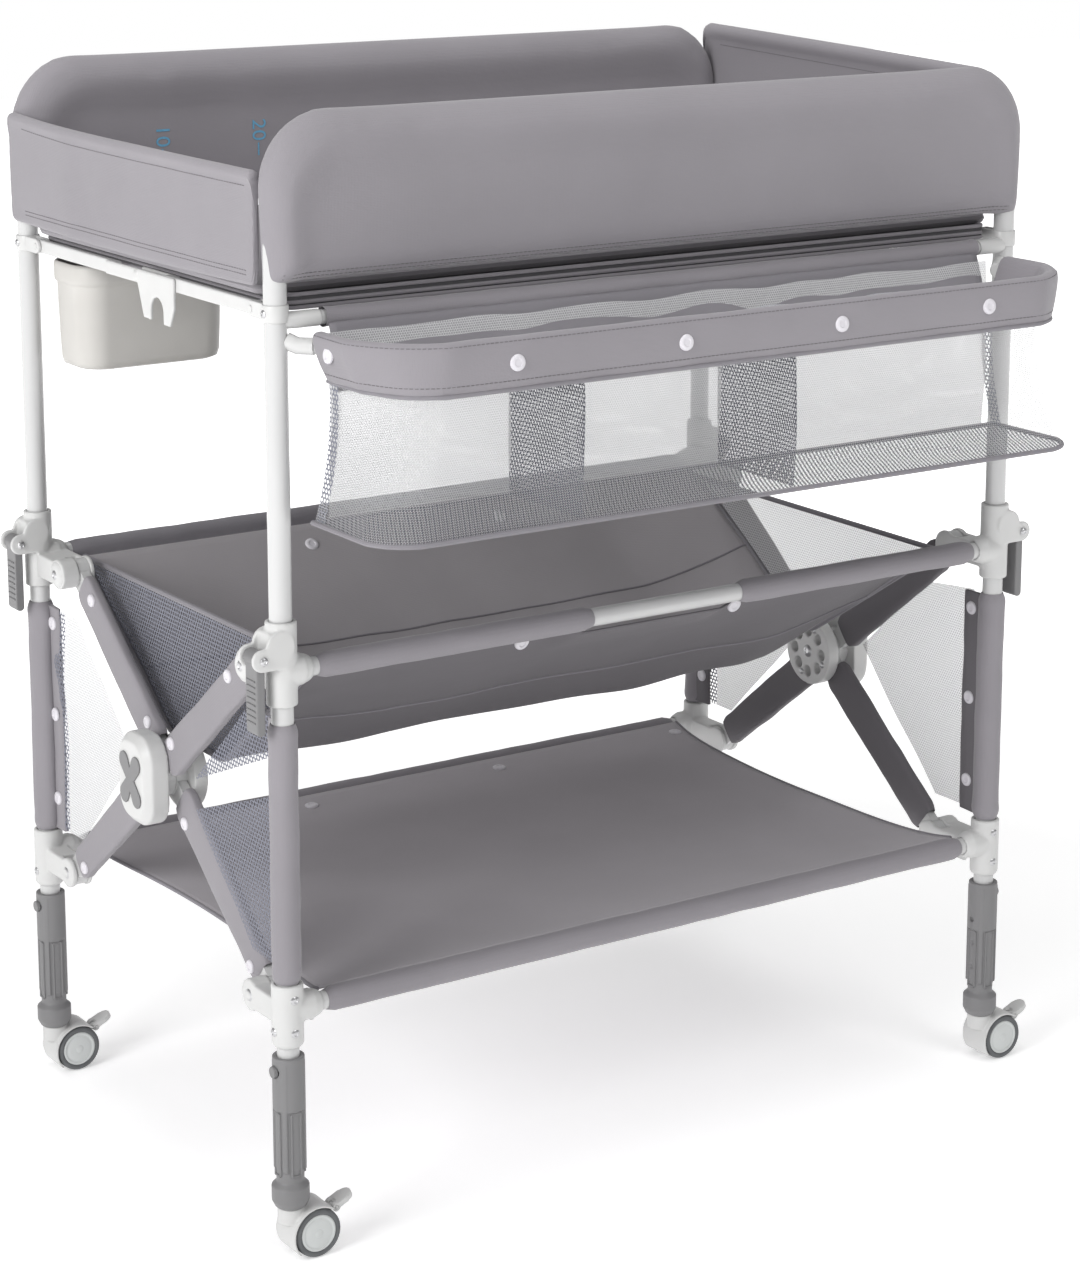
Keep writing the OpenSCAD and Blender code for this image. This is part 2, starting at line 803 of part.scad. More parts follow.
rear_frame_tube();
rear_pad();
rear_leg_joints();
rear_bottom_rail();
rear_leg_sleeves();
rear_stay_brackets();
bed_base();
end_wall_left();
end_wall_right();
lower_shelf();
front_frame_tube();
front_pad();
front_leg_joints();
front_bottom_rail();
front_leg_sleeves();
front_tray_brackets();
tray_rim();
tray_band();
pocket_net();
rising_braces();
rising_brace_sleeves();
hub_caps();
hub_badges();
falling_braces();
falling_brace_sleeves();
hub_backs();
front_collars();
front_basket_rail();
front_rail_wraps();
rear_collars();
rear_basket_rail();
basket_sling();
side_nets();
rear_stays();
front_stays();
basin();
lever_front_left();
lever_front_right();
lever_rear_left();
lever_rear_right();
foot_front_left();
foot_front_right();
foot_rear_left();
foot_rear_right();
button_front_left();
button_front_right();
button_rear_left();
button_rear_right();
fork_front_left();
fork_front_right();
fork_rear_left();
fork_rear_right();
wheels_front_left();
wheels_front_right();
wheels_rear_left();
wheels_rear_right();
pedal_front_left();
pedal_front_right();
pedal_rear_left();
pedal_rear_right();
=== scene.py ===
"""Looks for the folding changing table.

Lengths in this script are millimetres, measured from the middle of the four legs on the floor,
with X to the right, Y to the rear and Z up. at() turns such a point into the row frame in metres.
"""

import math

import bmesh
import bpy
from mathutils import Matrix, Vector, noise
from mathutils.bvhtree import BVHTree


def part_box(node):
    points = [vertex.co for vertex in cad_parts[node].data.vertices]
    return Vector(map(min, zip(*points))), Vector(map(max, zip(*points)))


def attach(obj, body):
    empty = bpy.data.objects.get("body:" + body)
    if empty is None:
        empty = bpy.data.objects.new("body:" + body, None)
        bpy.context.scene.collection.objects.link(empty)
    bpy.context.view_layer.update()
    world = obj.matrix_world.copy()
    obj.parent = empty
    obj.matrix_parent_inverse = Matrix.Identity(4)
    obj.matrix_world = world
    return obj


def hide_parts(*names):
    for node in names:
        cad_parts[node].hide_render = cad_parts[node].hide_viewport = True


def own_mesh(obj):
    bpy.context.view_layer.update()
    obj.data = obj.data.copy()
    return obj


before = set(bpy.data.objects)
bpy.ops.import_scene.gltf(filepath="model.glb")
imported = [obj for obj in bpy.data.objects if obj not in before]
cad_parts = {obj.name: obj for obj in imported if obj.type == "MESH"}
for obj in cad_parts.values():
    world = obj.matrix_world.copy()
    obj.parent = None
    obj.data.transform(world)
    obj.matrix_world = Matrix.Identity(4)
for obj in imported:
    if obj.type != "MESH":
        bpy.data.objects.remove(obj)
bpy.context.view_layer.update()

# ---- frame and driving dimensions ------------------------------------------------

MM = 0.001
SIDES = {-1: "left", 1: "right"}
ENDS = {-1: "front", 1: "rear"}


def middle(low, high):
    return (low + high) / 2


front_tube = middle(*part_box("front_frame_tube"))
rear_tube = middle(*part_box("rear_frame_tube"))
ORIGIN = Vector((front_tube.x, middle(front_tube.y, rear_tube.y), 0))


def at(point):
    """A point in millimetres from the middle of the legs, as metres in the row frame."""
    return ORIGIN + Vector(point) * MM


def extent(node):
    """(low, high) corners of a CAD node in millimetres from the middle of the legs."""
    low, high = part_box(node)
    return (low - ORIGIN) / MM, (high - ORIGIN) / MM


TUBE_R = 9.5
LEG_X = extent("front_frame_tube")[1].x - TUBE_R
LEG_Y = (rear_tube.y - front_tube.y) / 2 / MM
PIVOT_INSET = 54
PIVOT_LOW = 216
PIVOT_HIGH = 503
PIVOT_Y = LEG_Y - PIVOT_INSET
HUB_Z = middle(PIVOT_LOW, PIVOT_HIGH)
RAIL_R = 8
BASKET_Z = 510
SHELF_Z = 221
LAYER_A = (-9.5, 1.5)
LAYER_B = (-21, -10)


def fold_cloth(piece):
    """Gives a cloth piece its own copy of its mesh."""
    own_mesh(piece)


# ---- materials ---------------------------------------------------------------------

finishes = {}


class Finish:
    """A procedural material under construction."""

    def __init__(self, name, slot, colour, roughness, **sockets):
        self.material = bpy.data.materials.new(name)
        self.material.use_nodes = True
        self.tree = self.material.node_tree
        self.shader = self.tree.nodes["Principled BSDF"]
        self.shader.inputs["Base Color"].default_value = (*colour, 1)
        self.shader.inputs["Roughness"].default_value = roughness
        for socket, value in sockets.items():
            self.shader.inputs[socket.replace("_", " ")].default_value = value
        self.colour = colour
        self.height = None
        finishes[name] = self.material

    def node(self, kind, settings=None, **inputs):
        """A new node; an input is given by name, or as i0, i1 and so on, with a value or an output."""
        made = self.tree.nodes.new(kind)
        for key, value in (settings or {}).items():
            setattr(made, key, value)
        for key, value in inputs.items():
            socket = made.inputs[int(key[1:])] if key[0] == "i" and key[1:].isdigit() else made.inputs[key]
            if isinstance(value, bpy.types.NodeSocket):
                self.tree.links.new(value, socket)
            else:
                socket.default_value = value
        return made

    def place(self):
        """Coordinates that stay with the piece, in metres."""
        return self.node("ShaderNodeTexCoord").outputs["Object"]

    def math(self, operation, first, second=0.0):
        return self.node("ShaderNodeMath", {"operation": operation}, i0=first, i1=second).outputs[0]

    def vector(self, operation, *values):
        inputs = {f"i{index}": value for index, value in enumerate(values)}
        return self.node("ShaderNodeVectorMath", {"operation": operation}, **inputs).outputs

    def remap(self, value, low, high, new_low=0.0, new_high=1.0):
        """The value, with the range from low to high stretched over new_low to new_high."""
        made = self.node("ShaderNodeMapRange", None, Value=value)
        limits = {"From Min": low, "From Max": high, "To Min": new_low, "To Max": new_high}
        for socket, limit in limits.items():
            made.inputs[socket].default_value = limit
        return made.outputs[0]

    def noise(self, scale, detail=2.0):
        made = self.node("ShaderNodeTexNoise", None, Vector=self.place(), Scale=scale, Detail=detail)
        return made.outputs["Fac"]

    def threads(self, period_mm):
        """Fine ribs along all three axes, which cross like a weave on any face."""
        total = None
        for direction in "XYZ":
            settings = {"wave_type": "BANDS", "bands_direction": direction}
            wave = self.node("ShaderNodeTexWave", settings, Vector=self.place(), Scale=314 / period_mm,
                             Distortion=0.6, Detail=1.0)
            height = wave.outputs["Fac"]
            total = height if total is None else self.math("ADD", total, height)
        return total

    def vary(self, scale, spread):
        """Uneven colour: the shade moves by spread either way."""
        dark, light = [(*[c * share for c in self.colour], 1) for share in (1 - spread, 1 + spread)]
        blend = self.remap(self.noise(scale, 3.0), 0.3, 0.7)
        mix = self.node("ShaderNodeMix", {"data_type": "RGBA"}, Factor=blend, i6=dark, i7=light)
        self.tree.links.new(mix.outputs[2], self.shader.inputs["Base Color"])

    def bump(self, height, depth_mm, strength=1.0):
        """Adds relief on top of what was there."""
        made = self.node("ShaderNodeBump", None, Strength=strength, Distance=depth_mm * MM, Height=height)
        if self.height is not None:
            self.tree.links.new(self.height, made.inputs["Normal"])
        self.height = made.outputs[0]
        self.tree.links.new(self.height, self.shader.inputs["Normal"])

    def holes(self, pitch_mm, radius_share, veil=0.0):
        """Round holes on a hexagonal lattice over the cloth's flat coordinates.

        veil is how much of a hole a second fine layer still covers.
        """
        flat = self.node("ShaderNodeUVMap", {"uv_map": "flat"}).outputs[0]
        cell = (pitch_mm * MM, pitch_mm * MM * math.sqrt(3), 1)
        half = (cell[0] / 2, cell[1] / 2, 0)
        nearest = None
        for offset in ((0, 0, 0), half):
            wrapped = self.vector("WRAP", self.vector("ADD", flat, offset)[0], cell, (0, 0, 0))[0]
            reach = self.vector("LENGTH", self.vector("SUBTRACT", wrapped, half)[0])["Value"]
            nearest = reach if nearest is None else self.math("MINIMUM", nearest, reach)
        radius = pitch_mm * MM * radius_share
        edge = self.remap(nearest, radius * 0.9, radius * 1.1, veil)
        self.tree.links.new(edge, self.shader.inputs["Alpha"])


def cloth(name, slot, colour, sheen=0.25):
    """Close-woven polyester with a soft sheen."""
    made = Finish(name, slot, colour, 0.78, Sheen_Weight=sheen, Sheen_Roughness=0.45)
    made.vary(9, 0.035)
    made.bump(made.noise(45, 3), 1.2, 0.22)
    made.bump(made.noise(420, 2), 0.25, 0.3)
    made.bump(made.threads(1.3), 0.12, 0.35)


def moulded(name, slot, colour, roughness=0.38):
    """Moulded plastic with a fine spark-eroded texture and softly caught edges."""
    made = Finish(name, slot, colour, roughness, Coat_Weight=0.08)
    made.vary(30, 0.02)
    made.height = made.node("ShaderNodeBevel", {"samples": 4}, Radius=0.9 * MM).outputs[0]
    made.bump(made.noise(1400, 2), 0.08, 0.25)


cloth("fabric", "fabric_grey", (0.262, 0.248, 0.268))
# The same grey cloth made lighter for the basket sling: painted light on its inner faces under the bed.
cloth("fabric_painted_light", "fabric_dark", (0.355, 0.336, 0.352), 0.12)
# An even lighter copy of the grey cloth for the lower shelf: painted light where the bed and basket above
# shade it.
cloth("fabric_shelf_painted_light", "fabric_grey", (0.43, 0.408, 0.432), 0.15)
# A dark copy of the grey cloth: painted shade on the sling's front underside and on the right-hand leg flaps
# and brace covers.
cloth("fabric_painted_shade", "fabric_dark", (0.14, 0.132, 0.143), 0.1)
cloth("binding", "fabric_grey", (0.225, 0.215, 0.235), 0.15)
cloth("seam", "fabric_dark", (0.15, 0.142, 0.152), 0.0)
cloth("black_band", "fabric_dark", (0.07, 0.068, 0.073), 0.1)
moulded("white_plastic", "plastic_white", (0.60, 0.60, 0.595))
moulded("grey_plastic", "plastic_grey", (0.195, 0.193, 0.197), 0.5)
moulded("disc_plastic", "plastic_grey", (0.60, 0.62, 0.615), 0.35)
moulded("basin_plastic", "basin_white", (0.53, 0.515, 0.49), 0.42)
moulded("snap_plastic", "plastic_white", (0.69, 0.67, 0.71), 0.3)

paint = Finish("white_paint", "tube_white", (0.57, 0.57, 0.57), 0.27, Coat_Weight=0.35, Coat_Roughness=0.12)
paint.vary(12, 0.012)
paint.bump(paint.noise(260, 2), 0.15, 0.12)

tyre = Finish("tyre_rubber", "wheel_grey", (0.115, 0.12, 0.125), 0.62)
tyre.vary(80, 0.12)
tyre.bump(tyre.noise(1500, 3), 0.15, 0.4)

steel = Finish("steel", "tube_white", (0.55, 0.55, 0.56), 0.32, Metallic=0.9)
steel.vary(300, 0.08)
steel.bump(steel.noise(900, 2), 0.05, 0.3)

ink = Finish("ruler_ink", "fabric_grey", (0.13, 0.36, 0.55), 0.7)
ink.vary(700, 0.10)


def netting(name, colour, pitch_mm, radius_share, veil):
    """Knitted net with round holes."""
    made = Finish(name, "net", colour, 0.85)
    made.vary(500, 0.06)
    made.holes(pitch_mm, radius_share, veil)
    made.bump(made.noise(1100, 2), 0.2, 0.4)


netting("net_dense", (0.19, 0.195, 0.235), 4.4, 0.34, 0.08)
netting("net_floor", (0.105, 0.108, 0.13), 4.0, 0.29, 0.1)
netting("net_pale", (0.56, 0.56, 0.57), 2.8, 0.41, 0.45)
netting("net_light", (0.60, 0.60, 0.61), 2.3, 0.46, 0.0)
netting("net_back", (0.62, 0.62, 0.63), 2.3, 0.43, 0.5)
netting("net_gathered", (0.42, 0.42, 0.45), 3.0, 0.25, 0.2)

# ---- mesh building -------------------------------------------------------------------


class Shape:
    """Points in millimetres, faces, and each point's place on the flat cloth in metres."""

    def __init__(self):
        self.points = []
        self.faces = []
        self.flats = []

    def add(self, points, faces, flats=None):
        start = len(self.points)
        self.points += [Vector(p) for p in points]
        self.faces += [[start + i for i in face] for face in faces]
        self.flats += flats or [(0.0, 0.0)] * len(points)
        return self

    def grid(self, point, columns, rows, axes=None):
        """A surface through point(u, v), with u and v from 0 to 1.

        The cloth's flat coordinates run along the surface, or along two axes of space.
        """
        lines = [[Vector(point(i / columns, j / rows)) for i in range(columns + 1)] for j in range(rows + 1)]
        if axes:
            flats = [(p[axes[0]] * MM, p[axes[1]] * MM) for line in lines for p in line]
        else:
            across = [running(line) for line in lines]
            up = [running([line[i] for line in lines]) for i in range(columns + 1)]
            flats = [(across[j][i] * MM, up[i][j] * MM) for j in range(rows + 1) for i in range(columns + 1)]
        faces = []
        for j in range(rows):
            for i in range(columns):
                a = j * (columns + 1) + i
                faces.append([a, a + 1, a + columns + 2, a + columns + 1])
        return self.add([p for line in lines for p in line], faces, flats)

    def loft(self, rings, capped=True, closed=False):
        """A skin over rings of the same number of points."""
        count = len(rings[0])
        faces = []
        spans = len(rings) if closed else len(rings) - 1
        for j in range(spans):
            k = (j + 1) % len(rings)
            for i in range(count):
                n = (i + 1) % count
                faces.append([j * count + i, j * count + n, k * count + n, k * count + i])
        if capped and not closed:
            faces.append(list(range(count))[::-1])
            faces.append([(len(rings) - 1) * count + i for i in range(count)])
        return self.add([p for ring in rings for p in ring], faces)

    def tube(self, path, radius, sides=8, closed=False):
        """A round cord along a path of points."""
        path = [Vector(p) for p in path]
        rings = []
        side = None
        for i, point in enumerate(path):
            ahead = path[(i + 1) % len(path)] if closed or i + 1 < len(path) else point
            behind = path[i - 1] if closed or i else point
            along = (ahead - behind).normalized()
            if side is None:
                side = along.cross(Vector((0, 0, 1)) if abs(along.z) < 0.9 else Vector((1, 0, 0)))
            side = (side - along * side.dot(along)).normalized()
            up = along.cross(side)
            rings.append([point + (side * math.cos(t) + up * math.sin(t)) * radius for t in turns(sides)])
        return self.loft(rings, True, closed)

    def lathe(self, profile, centre, axis, steps=24):
        """A profile of (radius, distance along the axis) turned about the axis."""
        axis = Vector(axis).normalized()
        side = axis.orthogonal().normalized()
        up = axis.cross(side)
        rings = []
        for radius, along in profile:
            base = Vector(centre) + axis * along
            reach = max(radius, 0.01)
            rings.append([base + (side * math.cos(t) + up * math.sin(t)) * reach for t in turns(steps)])
        return self.loft(rings)

    def prism(self, outline, depth):
        """A flat outline pushed along the vector depth."""
        return self.loft([outline, [Vector(p) + Vector(depth) for p in outline]])


def turns(count):
    """Angles evenly round a full turn."""
    return [2 * math.pi * k / count for k in range(count)]


def running(line):
    """Distance along a line at each of its points."""
    total = [0.0]
    for a, b in zip(line, line[1:]):
        total.append(total[-1] + (b - a).length)
    return total


def new_object(name, data):
    made = bpy.data.objects.new(name, data)
    bpy.context.scene.collection.objects.link(made)
    return made


def shown(piece):
    """The piece with its modifiers worked out."""
    return piece.evaluated_get(bpy.context.evaluated_depsgraph_get())


def mesh_object(name, shape, finish, weld=False, sharp=40):
    mesh = bpy.data.meshes.new(name)
    mesh.from_pydata([at(p) for p in shape.points], [], shape.faces)
    flat = mesh.uv_layers.new(name="flat")
    for loop in mesh.loops:
        flat.data[loop.index].uv = shape.flats[loop.vertex_index]
    work = bmesh.new()
    work.from_mesh(mesh)
    if weld:
        bmesh.ops.remove_doubles(work, verts=work.verts, dist=0.02 * MM)
    bmesh.ops.recalc_face_normals(work, faces=work.faces)
    work.to_mesh(mesh)
    work.free()
    mesh.materials.append(finishes[finish])
    mesh.shade_smooth()
    mesh.set_sharp_from_angle(angle=math.radians(sharp))
    return new_object(name, mesh)


def modify(piece, kind, **settings):
    made = piece.modifiers.new(kind.lower(), kind)
    for key, value in settings.items():
        setattr(made, key, value)
    return made


def subdivide(piece):
    modify(piece, "SUBSURF", levels=1, render_levels=1)


def thicken(piece, thickness):
    modify(piece, "SOLIDIFY", thickness=thickness * MM, offset=0)


def round_edges(piece, width):
    modify(piece, "BEVEL", width=width * MM, segments=2, limit_method="ANGLE", angle_limit=math.radians(35))


def dress(piece, body, replaces=()):
    """Puts a finished piece on its body."""
    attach(piece, body)
    if replaces:
        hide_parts(*replaces)
    return piece


def build(name, shape, body, finish, replaces=(), weld=False, sharp=40, anchor_y=None):
    """A dressed piece; with anchor_y it gets its own copy of its mesh."""
    piece = dress(mesh_object(name, shape, finish, weld, sharp), body, replaces)
    if anchor_y is not None:
        fold_cloth(piece)
    return piece


def refinish(piece, finish, chosen):
    """Gives another finish to the faces whose middle, in millimetres, is chosen."""
    piece.data.materials.append(finishes[finish])
    for face in piece.data.polygons:
        if chosen((face.center - ORIGIN) / MM):
            face.material_index = 1


def bake_modifiers(piece):
    """Makes what the modifiers show the piece's own mesh."""
    mesh = bpy.data.meshes.new_from_object(shown(piece))
    piece.modifiers.clear()
    piece.data = mesh


def softened(node, body, finish, voxel, passes):
    """A moulded copy of a CAD node: the same shape with its edges rounded over."""
    made = new_object("moulded_" + node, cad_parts[node].data.copy())
    modify(made, "REMESH", mode="VOXEL", voxel_size=voxel * MM, use_smooth_shade=True)
    modify(made, "SMOOTH", factor=0.5, iterations=passes)
    bake_modifiers(made)
    made.data.materials.clear()
    made.data.materials.append(finishes[finish])
    dress(made, body, (node,))


PUFF_PRESSURE = 4.0
PUFF_STEPS = 18


def swell(piece, voxel, cap):
    """Fills a closed cloth piece by a short simulation in which no point moves over cap millimetres."""
    modify(piece, "REMESH", mode="VOXEL", voxel_size=voxel * MM, use_smooth_shade=True)
    bake_modifiers(piece)
    rest = [v.co.copy() for v in piece.data.vertices]
    sim = modify(piece, "CLOTH")
    sim.settings.use_pressure = True
    sim.settings.uniform_pressure_force = PUFF_PRESSURE
    sim.settings.effector_weights.gravity = 0
    sim.settings.quality = 4
    sim.collision_settings.use_collision = False
    sim.point_cache.frame_end = PUFF_STEPS
    for step in range(1, PUFF_STEPS + 1):
        bpy.context.scene.frame_set(step)
    moved = [v.co.copy() for v in shown(piece).data.vertices]
    piece.modifiers.clear()
    for vertex, start, end in zip(piece.data.vertices, rest, moved):
        step = end - start
        vertex.co = start + step * min(1.0, cap * MM / max(step.length, 1e-9))
    bpy.context.scene.frame_set(1)
    subdivide(piece)


surface_trees = {}


def on_surface(piece, point, direction, lift):
    """Where a line from point (mm) along direction meets the piece, lifted off it by lift."""
    tree = surface_trees.get(piece.name)
    if tree is None:
        tree = BVHTree.FromObject(piece, bpy.context.evaluated_depsgraph_get())
        surface_trees[piece.name] = tree
    hit = tree.ray_cast(at(point), Vector(direction))[0]
    return None if hit is None else (hit - ORIGIN) / MM - Vector(direction) * lift


def ripple(point, size, height):
    """A smooth random offset for cloth, the same on each run."""
    return noise.noise(Vector(point) / size) * height


STITCH_GAP = 4.2
STITCH_LENGTH = 2.9
STITCH_R = 0.36


def stitches(shape, path):
    """A row of stitches along a path; points that missed their surface are None and left out."""
    path = [p for p in path if p is not None]
    distances = running(path)
    position = 0.0
    index = 0
    while position + STITCH_LENGTH < distances[-1]:
        ends = []
        for where in (position, position + STITCH_LENGTH):
            while index + 2 < len(path) and distances[index + 1] < where:
                index += 1
            share = (where - distances[index]) / max(distances[index + 1] - distances[index], 1e-6)
            ends.append(path[index].lerp(path[index + 1], share))
        shape.tube(ends, STITCH_R, 5)
        position += STITCH_GAP


def snap(shape, centre, axis, radius=7.0):
    """A plastic press stud with a raised ring."""
    profile = [(0, 1.3), (0.42, 1.3), (0.5, 1.9), (0.8, 1.9), (0.95, 1.2), (1, 0.2), (0.98, -0.8), (0, -0.8)]
    shape.lathe([(r * radius, h) for r, h in profile], centre, axis, 20)


def rivet(shape, centre, axis, radius=4.0, dome=1.4):
    """A domed rivet head with a shallow centre."""
    profile = [
        (0, dome * 0.6), (0.35, dome * 0.65), (0.45, dome), (0.75, dome * 0.8), (1, 0.1), (0.96, -1), (0, -1),
    ]
    shape.lathe([(r * radius, h) for r, h in profile], centre, axis, 18)


# ---- padded bed ------------------------------------------------------------------------

PAD_LOW, PAD_HIGH = extent("front_pad")
PAD_HALF = PAD_HIGH.x - 1.5
PAD_BOTTOM = PAD_LOW.z + 0.5
PAD_TOP = PAD_HIGH.z - 2.5
PAD_CORNER = 64
FRAME_TOP = 941
REAR_RISE = 8


def pad_outline(u, v):
    """(x, z, distance to the edge) of a point of the pad's face, u and v from -1 to 1."""
    x = PAD_HALF * math.sin(u * math.pi / 2)
    z = middle(PAD_BOTTOM, PAD_TOP) + (PAD_TOP - PAD_BOTTOM) / 2 * math.sin(v * math.pi / 2)
    corner_x = abs(x) - (PAD_HALF - PAD_CORNER)
    corner_z = z - (PAD_TOP - PAD_CORNER)
    edge = min(PAD_HALF - abs(x), PAD_TOP - z, z - PAD_BOTTOM)
    if corner_x > 0 and corner_z > 0:
        spread_x = corner_x * math.sqrt(1 - corner_z ** 2 / (2 * PAD_CORNER ** 2))
        spread_z = corner_z * math.sqrt(1 - corner_x ** 2 / (2 * PAD_CORNER ** 2))
        edge = min(PAD_CORNER - math.hypot(spread_x, spread_z), z - PAD_BOTTOM)
        x = math.copysign(PAD_HALF - PAD_CORNER + spread_x, x)
        z = PAD_TOP - PAD_CORNER + spread_z
    drop = (PAD_TOP - z) / (PAD_TOP - PAD_BOTTOM)
    return x * (1 - 0.011 * drop ** 2), z, max(edge, 0)


def tube_distance(x, z):
    """Distance in the frame's plane from the bent tube inside the pad."""
    bend = 60
    dx = abs(x) - (LEG_X - bend)
    dz = z - (FRAME_TOP - bend)
    if dx > 0 and dz > 0:
        return abs(math.hypot(dx, dz) - bend)
    if dz > 0:
        return abs(z - FRAME_TOP)
    return abs(abs(x) - LEG_X)


def pad_half_thickness(x, z, edge):
    """Half thickness: a roll round the tube, thinner padding below it, closed at the edge."""
    roll = max(0.0, 1 - tube_distance(x, z) / 34)
    full = 12.6 + 4.6 * roll * roll * (3 - 2 * roll) + 1.4 * math.cos(x / PAD_HALF * math.pi / 2)
    if edge >= full:
        return full
    return full * math.sqrt(max(0.0, 1 - (1 - edge / full) ** 2))


def make_pad(end):
    """The cushioned cover over the top of one frame."""
    plane = end * LEG_Y
    shape = Shape()
    for face in (-1, 1):
        def point(u, v):
            x, z, edge = pad_outline(2 * u - 1, 2 * v - 1)
            half = pad_half_thickness(x, z, edge)
            if end > 0:
                z += REAR_RISE * ((z - PAD_BOTTOM) / (PAD_TOP - PAD_BOTTOM)) ** 2
            return (x, plane + face * half + ripple((x, 40 * end, z), 70, 0.5) * half / 12, z)
        shape.grid(point, 110, 40)
    name = ENDS[end] + "_pad"
    pad = mesh_object(name + "_cover", shape, "fabric", weld=True)
    swell(pad, 5.5, 3.0)
    dress(pad, ENDS[end] + "_frame", (name,))
    return pad


pads = {end: make_pad(end) for end in ENDS}


def pad_hem(end):
    """Two rows of stitches along the bottom hem, on both faces of the pad."""
    shape = Shape()
    for face in (-1, 1):
        start = end * LEG_Y + face * 60
        for z in (PAD_BOTTOM + 6.5, PAD_BOTTOM + 10):
            points = [(x, start, z) for x in range(-380, 381, 10)]
            line = [on_surface(pads[end], p, (0, -face, 0), 0.1) for p in points]
            stitches(shape, line)
    build(ENDS[end] + "_pad_stitches", shape, ENDS[end] + "_frame", "seam")


for end in ENDS:
    pad_hem(end)


def end_wall_rings(side, top_at, roll, spread):
    """Rings of an end wall: a thin panel with a hem below and a roll along its top.
    Its ends run on into the round corners of the pads."""
    low, high = extent("end_wall_" + SIDES[side])
    centre_x = middle(low.x, high.x)
    rings = []
    stations = 60
    for i in range(stations + 1):
        share = 2 * i / stations - 1
        y = (high.y + (27 if share > 0 else 10)) * share
        bottom = PAD_BOTTOM - 1 - 2.5 * (1 - share * share)
        top = top_at(share)
        bow = side * 2.0 * (1 - share * share)
        ring = []
        heights = [0, 0.03, 0.08, 0.16, 0.3, 0.45, 0.6, 0.74, 0.85]
        for face in (1, -1):
            order = heights if face > 0 else heights[::-1]
            for share_z in order:
                z = bottom + (top - 2 * roll - bottom) * share_z / 0.85
                half = spread * (0.75 if 0.03 < share_z < 0.1 else 1.0)
                half *= 0.5 if share_z == 0 else 1.0
                wave = ripple((y, z, side * 90), 45, 1.1)
                ring.append((centre_x + bow + side * face * half + wave, y, z))
            if face > 0:
                for k in range(1, 12):
                    turn = math.pi * (k / 11 * 1.5 - 0.25)
                    ring.append((
                        centre_x + bow + side * roll * math.cos(turn) + ripple((y, 0, top), 60, 0.5),
                        y,
                        top - roll + roll * math.sin(turn),
                    ))
        rings.append(ring)
    return rings


def make_end_wall(side, top_at, roll, spread):
    name = "end_wall_" + SIDES[side]
    wall = mesh_object(name + "_panel", Shape().loft(end_wall_rings(side, top_at, roll, spread)), "fabric")
    subdivide(wall)
    dress(wall, "rear_frame", (name,))
    fold_cloth(wall)
    return wall


def low_top(share):
    """Top of the low left wall: share runs from -1 at the front to 1 at the rear."""
    return 916.5 + 1.2 * share + 6.5 * max(0.0, share - 0.15) ** 2.4


def high_top(share):
    """Top of the high right wall: it slopes down to the front and tucks in behind the front pad."""
    tuck = max(0.0, (-share - 0.8) / 0.2)
    return 961.5 + 8.5 * share - 26 * tuck ** 2


walls = {-1: make_end_wall(-1, low_top, 5.2, 3.4), 1: make_end_wall(1, high_top, 8.5, 5.2)}


def wall_stitches(side, depths_from_top, top_at):
    """Rows of stitches along the hem and under the roll, on both faces of an end wall."""
    low, high = extent("end_wall_" + SIDES[side])
    shape = Shape()
    for face in (-1, 1):
        start_x = middle(low.x, high.x) + face * 60
        rows = [lambda share, d=d: top_at(share) - d for d in depths_from_top]
        rows += [lambda share: PAD_BOTTOM + 7, lambda share: PAD_BOTTOM + 10.5]
        for row in rows:
            line = []
            for i in range(41):
                share = i / 20 - 1
                y = share * (high.y - 3)
                line.append(on_surface(walls[side], (start_x, y, row(share)), (-face, 0, 0), 0.05))
            stitches(shape, line)
    build("end_wall_stitches_" + SIDES[side], shape, "rear_frame", "seam", anchor_y=LEG_Y)


wall_stitches(-1, (13,), low_top)
wall_stitches(1, (21,), high_top)


def ruler():
    """A printed ruler on the inner face of the rear pad: numbers and a tick each 100 mm."""
    marks = Shape()
    plane = LEG_Y - 60
    for number in range(10, 71, 10):
        x = -350 + number * 10
        curve = bpy.data.curves.new("digits", "FONT")
        curve.body = str(number)
        curve.size = 20
        curve.align_x = "CENTER"
        curve.align_y = "CENTER"
        text = new_object("digits", curve)
        mesh = bpy.data.meshes.new_from_object(shown(text))
        points = []
        for vertex in mesh.vertices:
            flat = (x + vertex.co.y, plane, 893 - vertex.co.x * 1.05)
            points.append(on_surface(pads[1], flat, (0, 1, 0), 0.35))
        marks.add(points, [list(p.vertices) for p in mesh.polygons])
        bpy.data.objects.remove(text)
        tick = []
        for z in (869, 872, 875, 878, 881):
            tick.append([on_surface(pads[1], (x + dx, plane, z), (0, 1, 0), 0.35) for dx in (-0.7, 0.7)])
        points = [p for pair in tick for p in pair]
        marks.add(points, [[2 * i, 2 * i + 1, 2 * i + 3, 2 * i + 2] for i in range(len(tick) - 1)])
    build("ruler_marks", marks, "rear_frame", "ruler_ink", sharp=180)


ruler()


def rounded_rectangle(half_x, half_y, corner, z, steps=8):
    """Points round a rectangle with round corners at height z."""
    points = []
    for quarter, (sx, sy) in enumerate(((1, 1), (-1, 1), (-1, -1), (1, -1))):
        for k in range(steps + 1):
            turn = math.radians(90 * (quarter + k / steps))
            x = sx * (half_x - corner) + corner * math.cos(turn)
            points.append((x, sy * (half_y - corner) + corner * math.sin(turn), z))
    return points


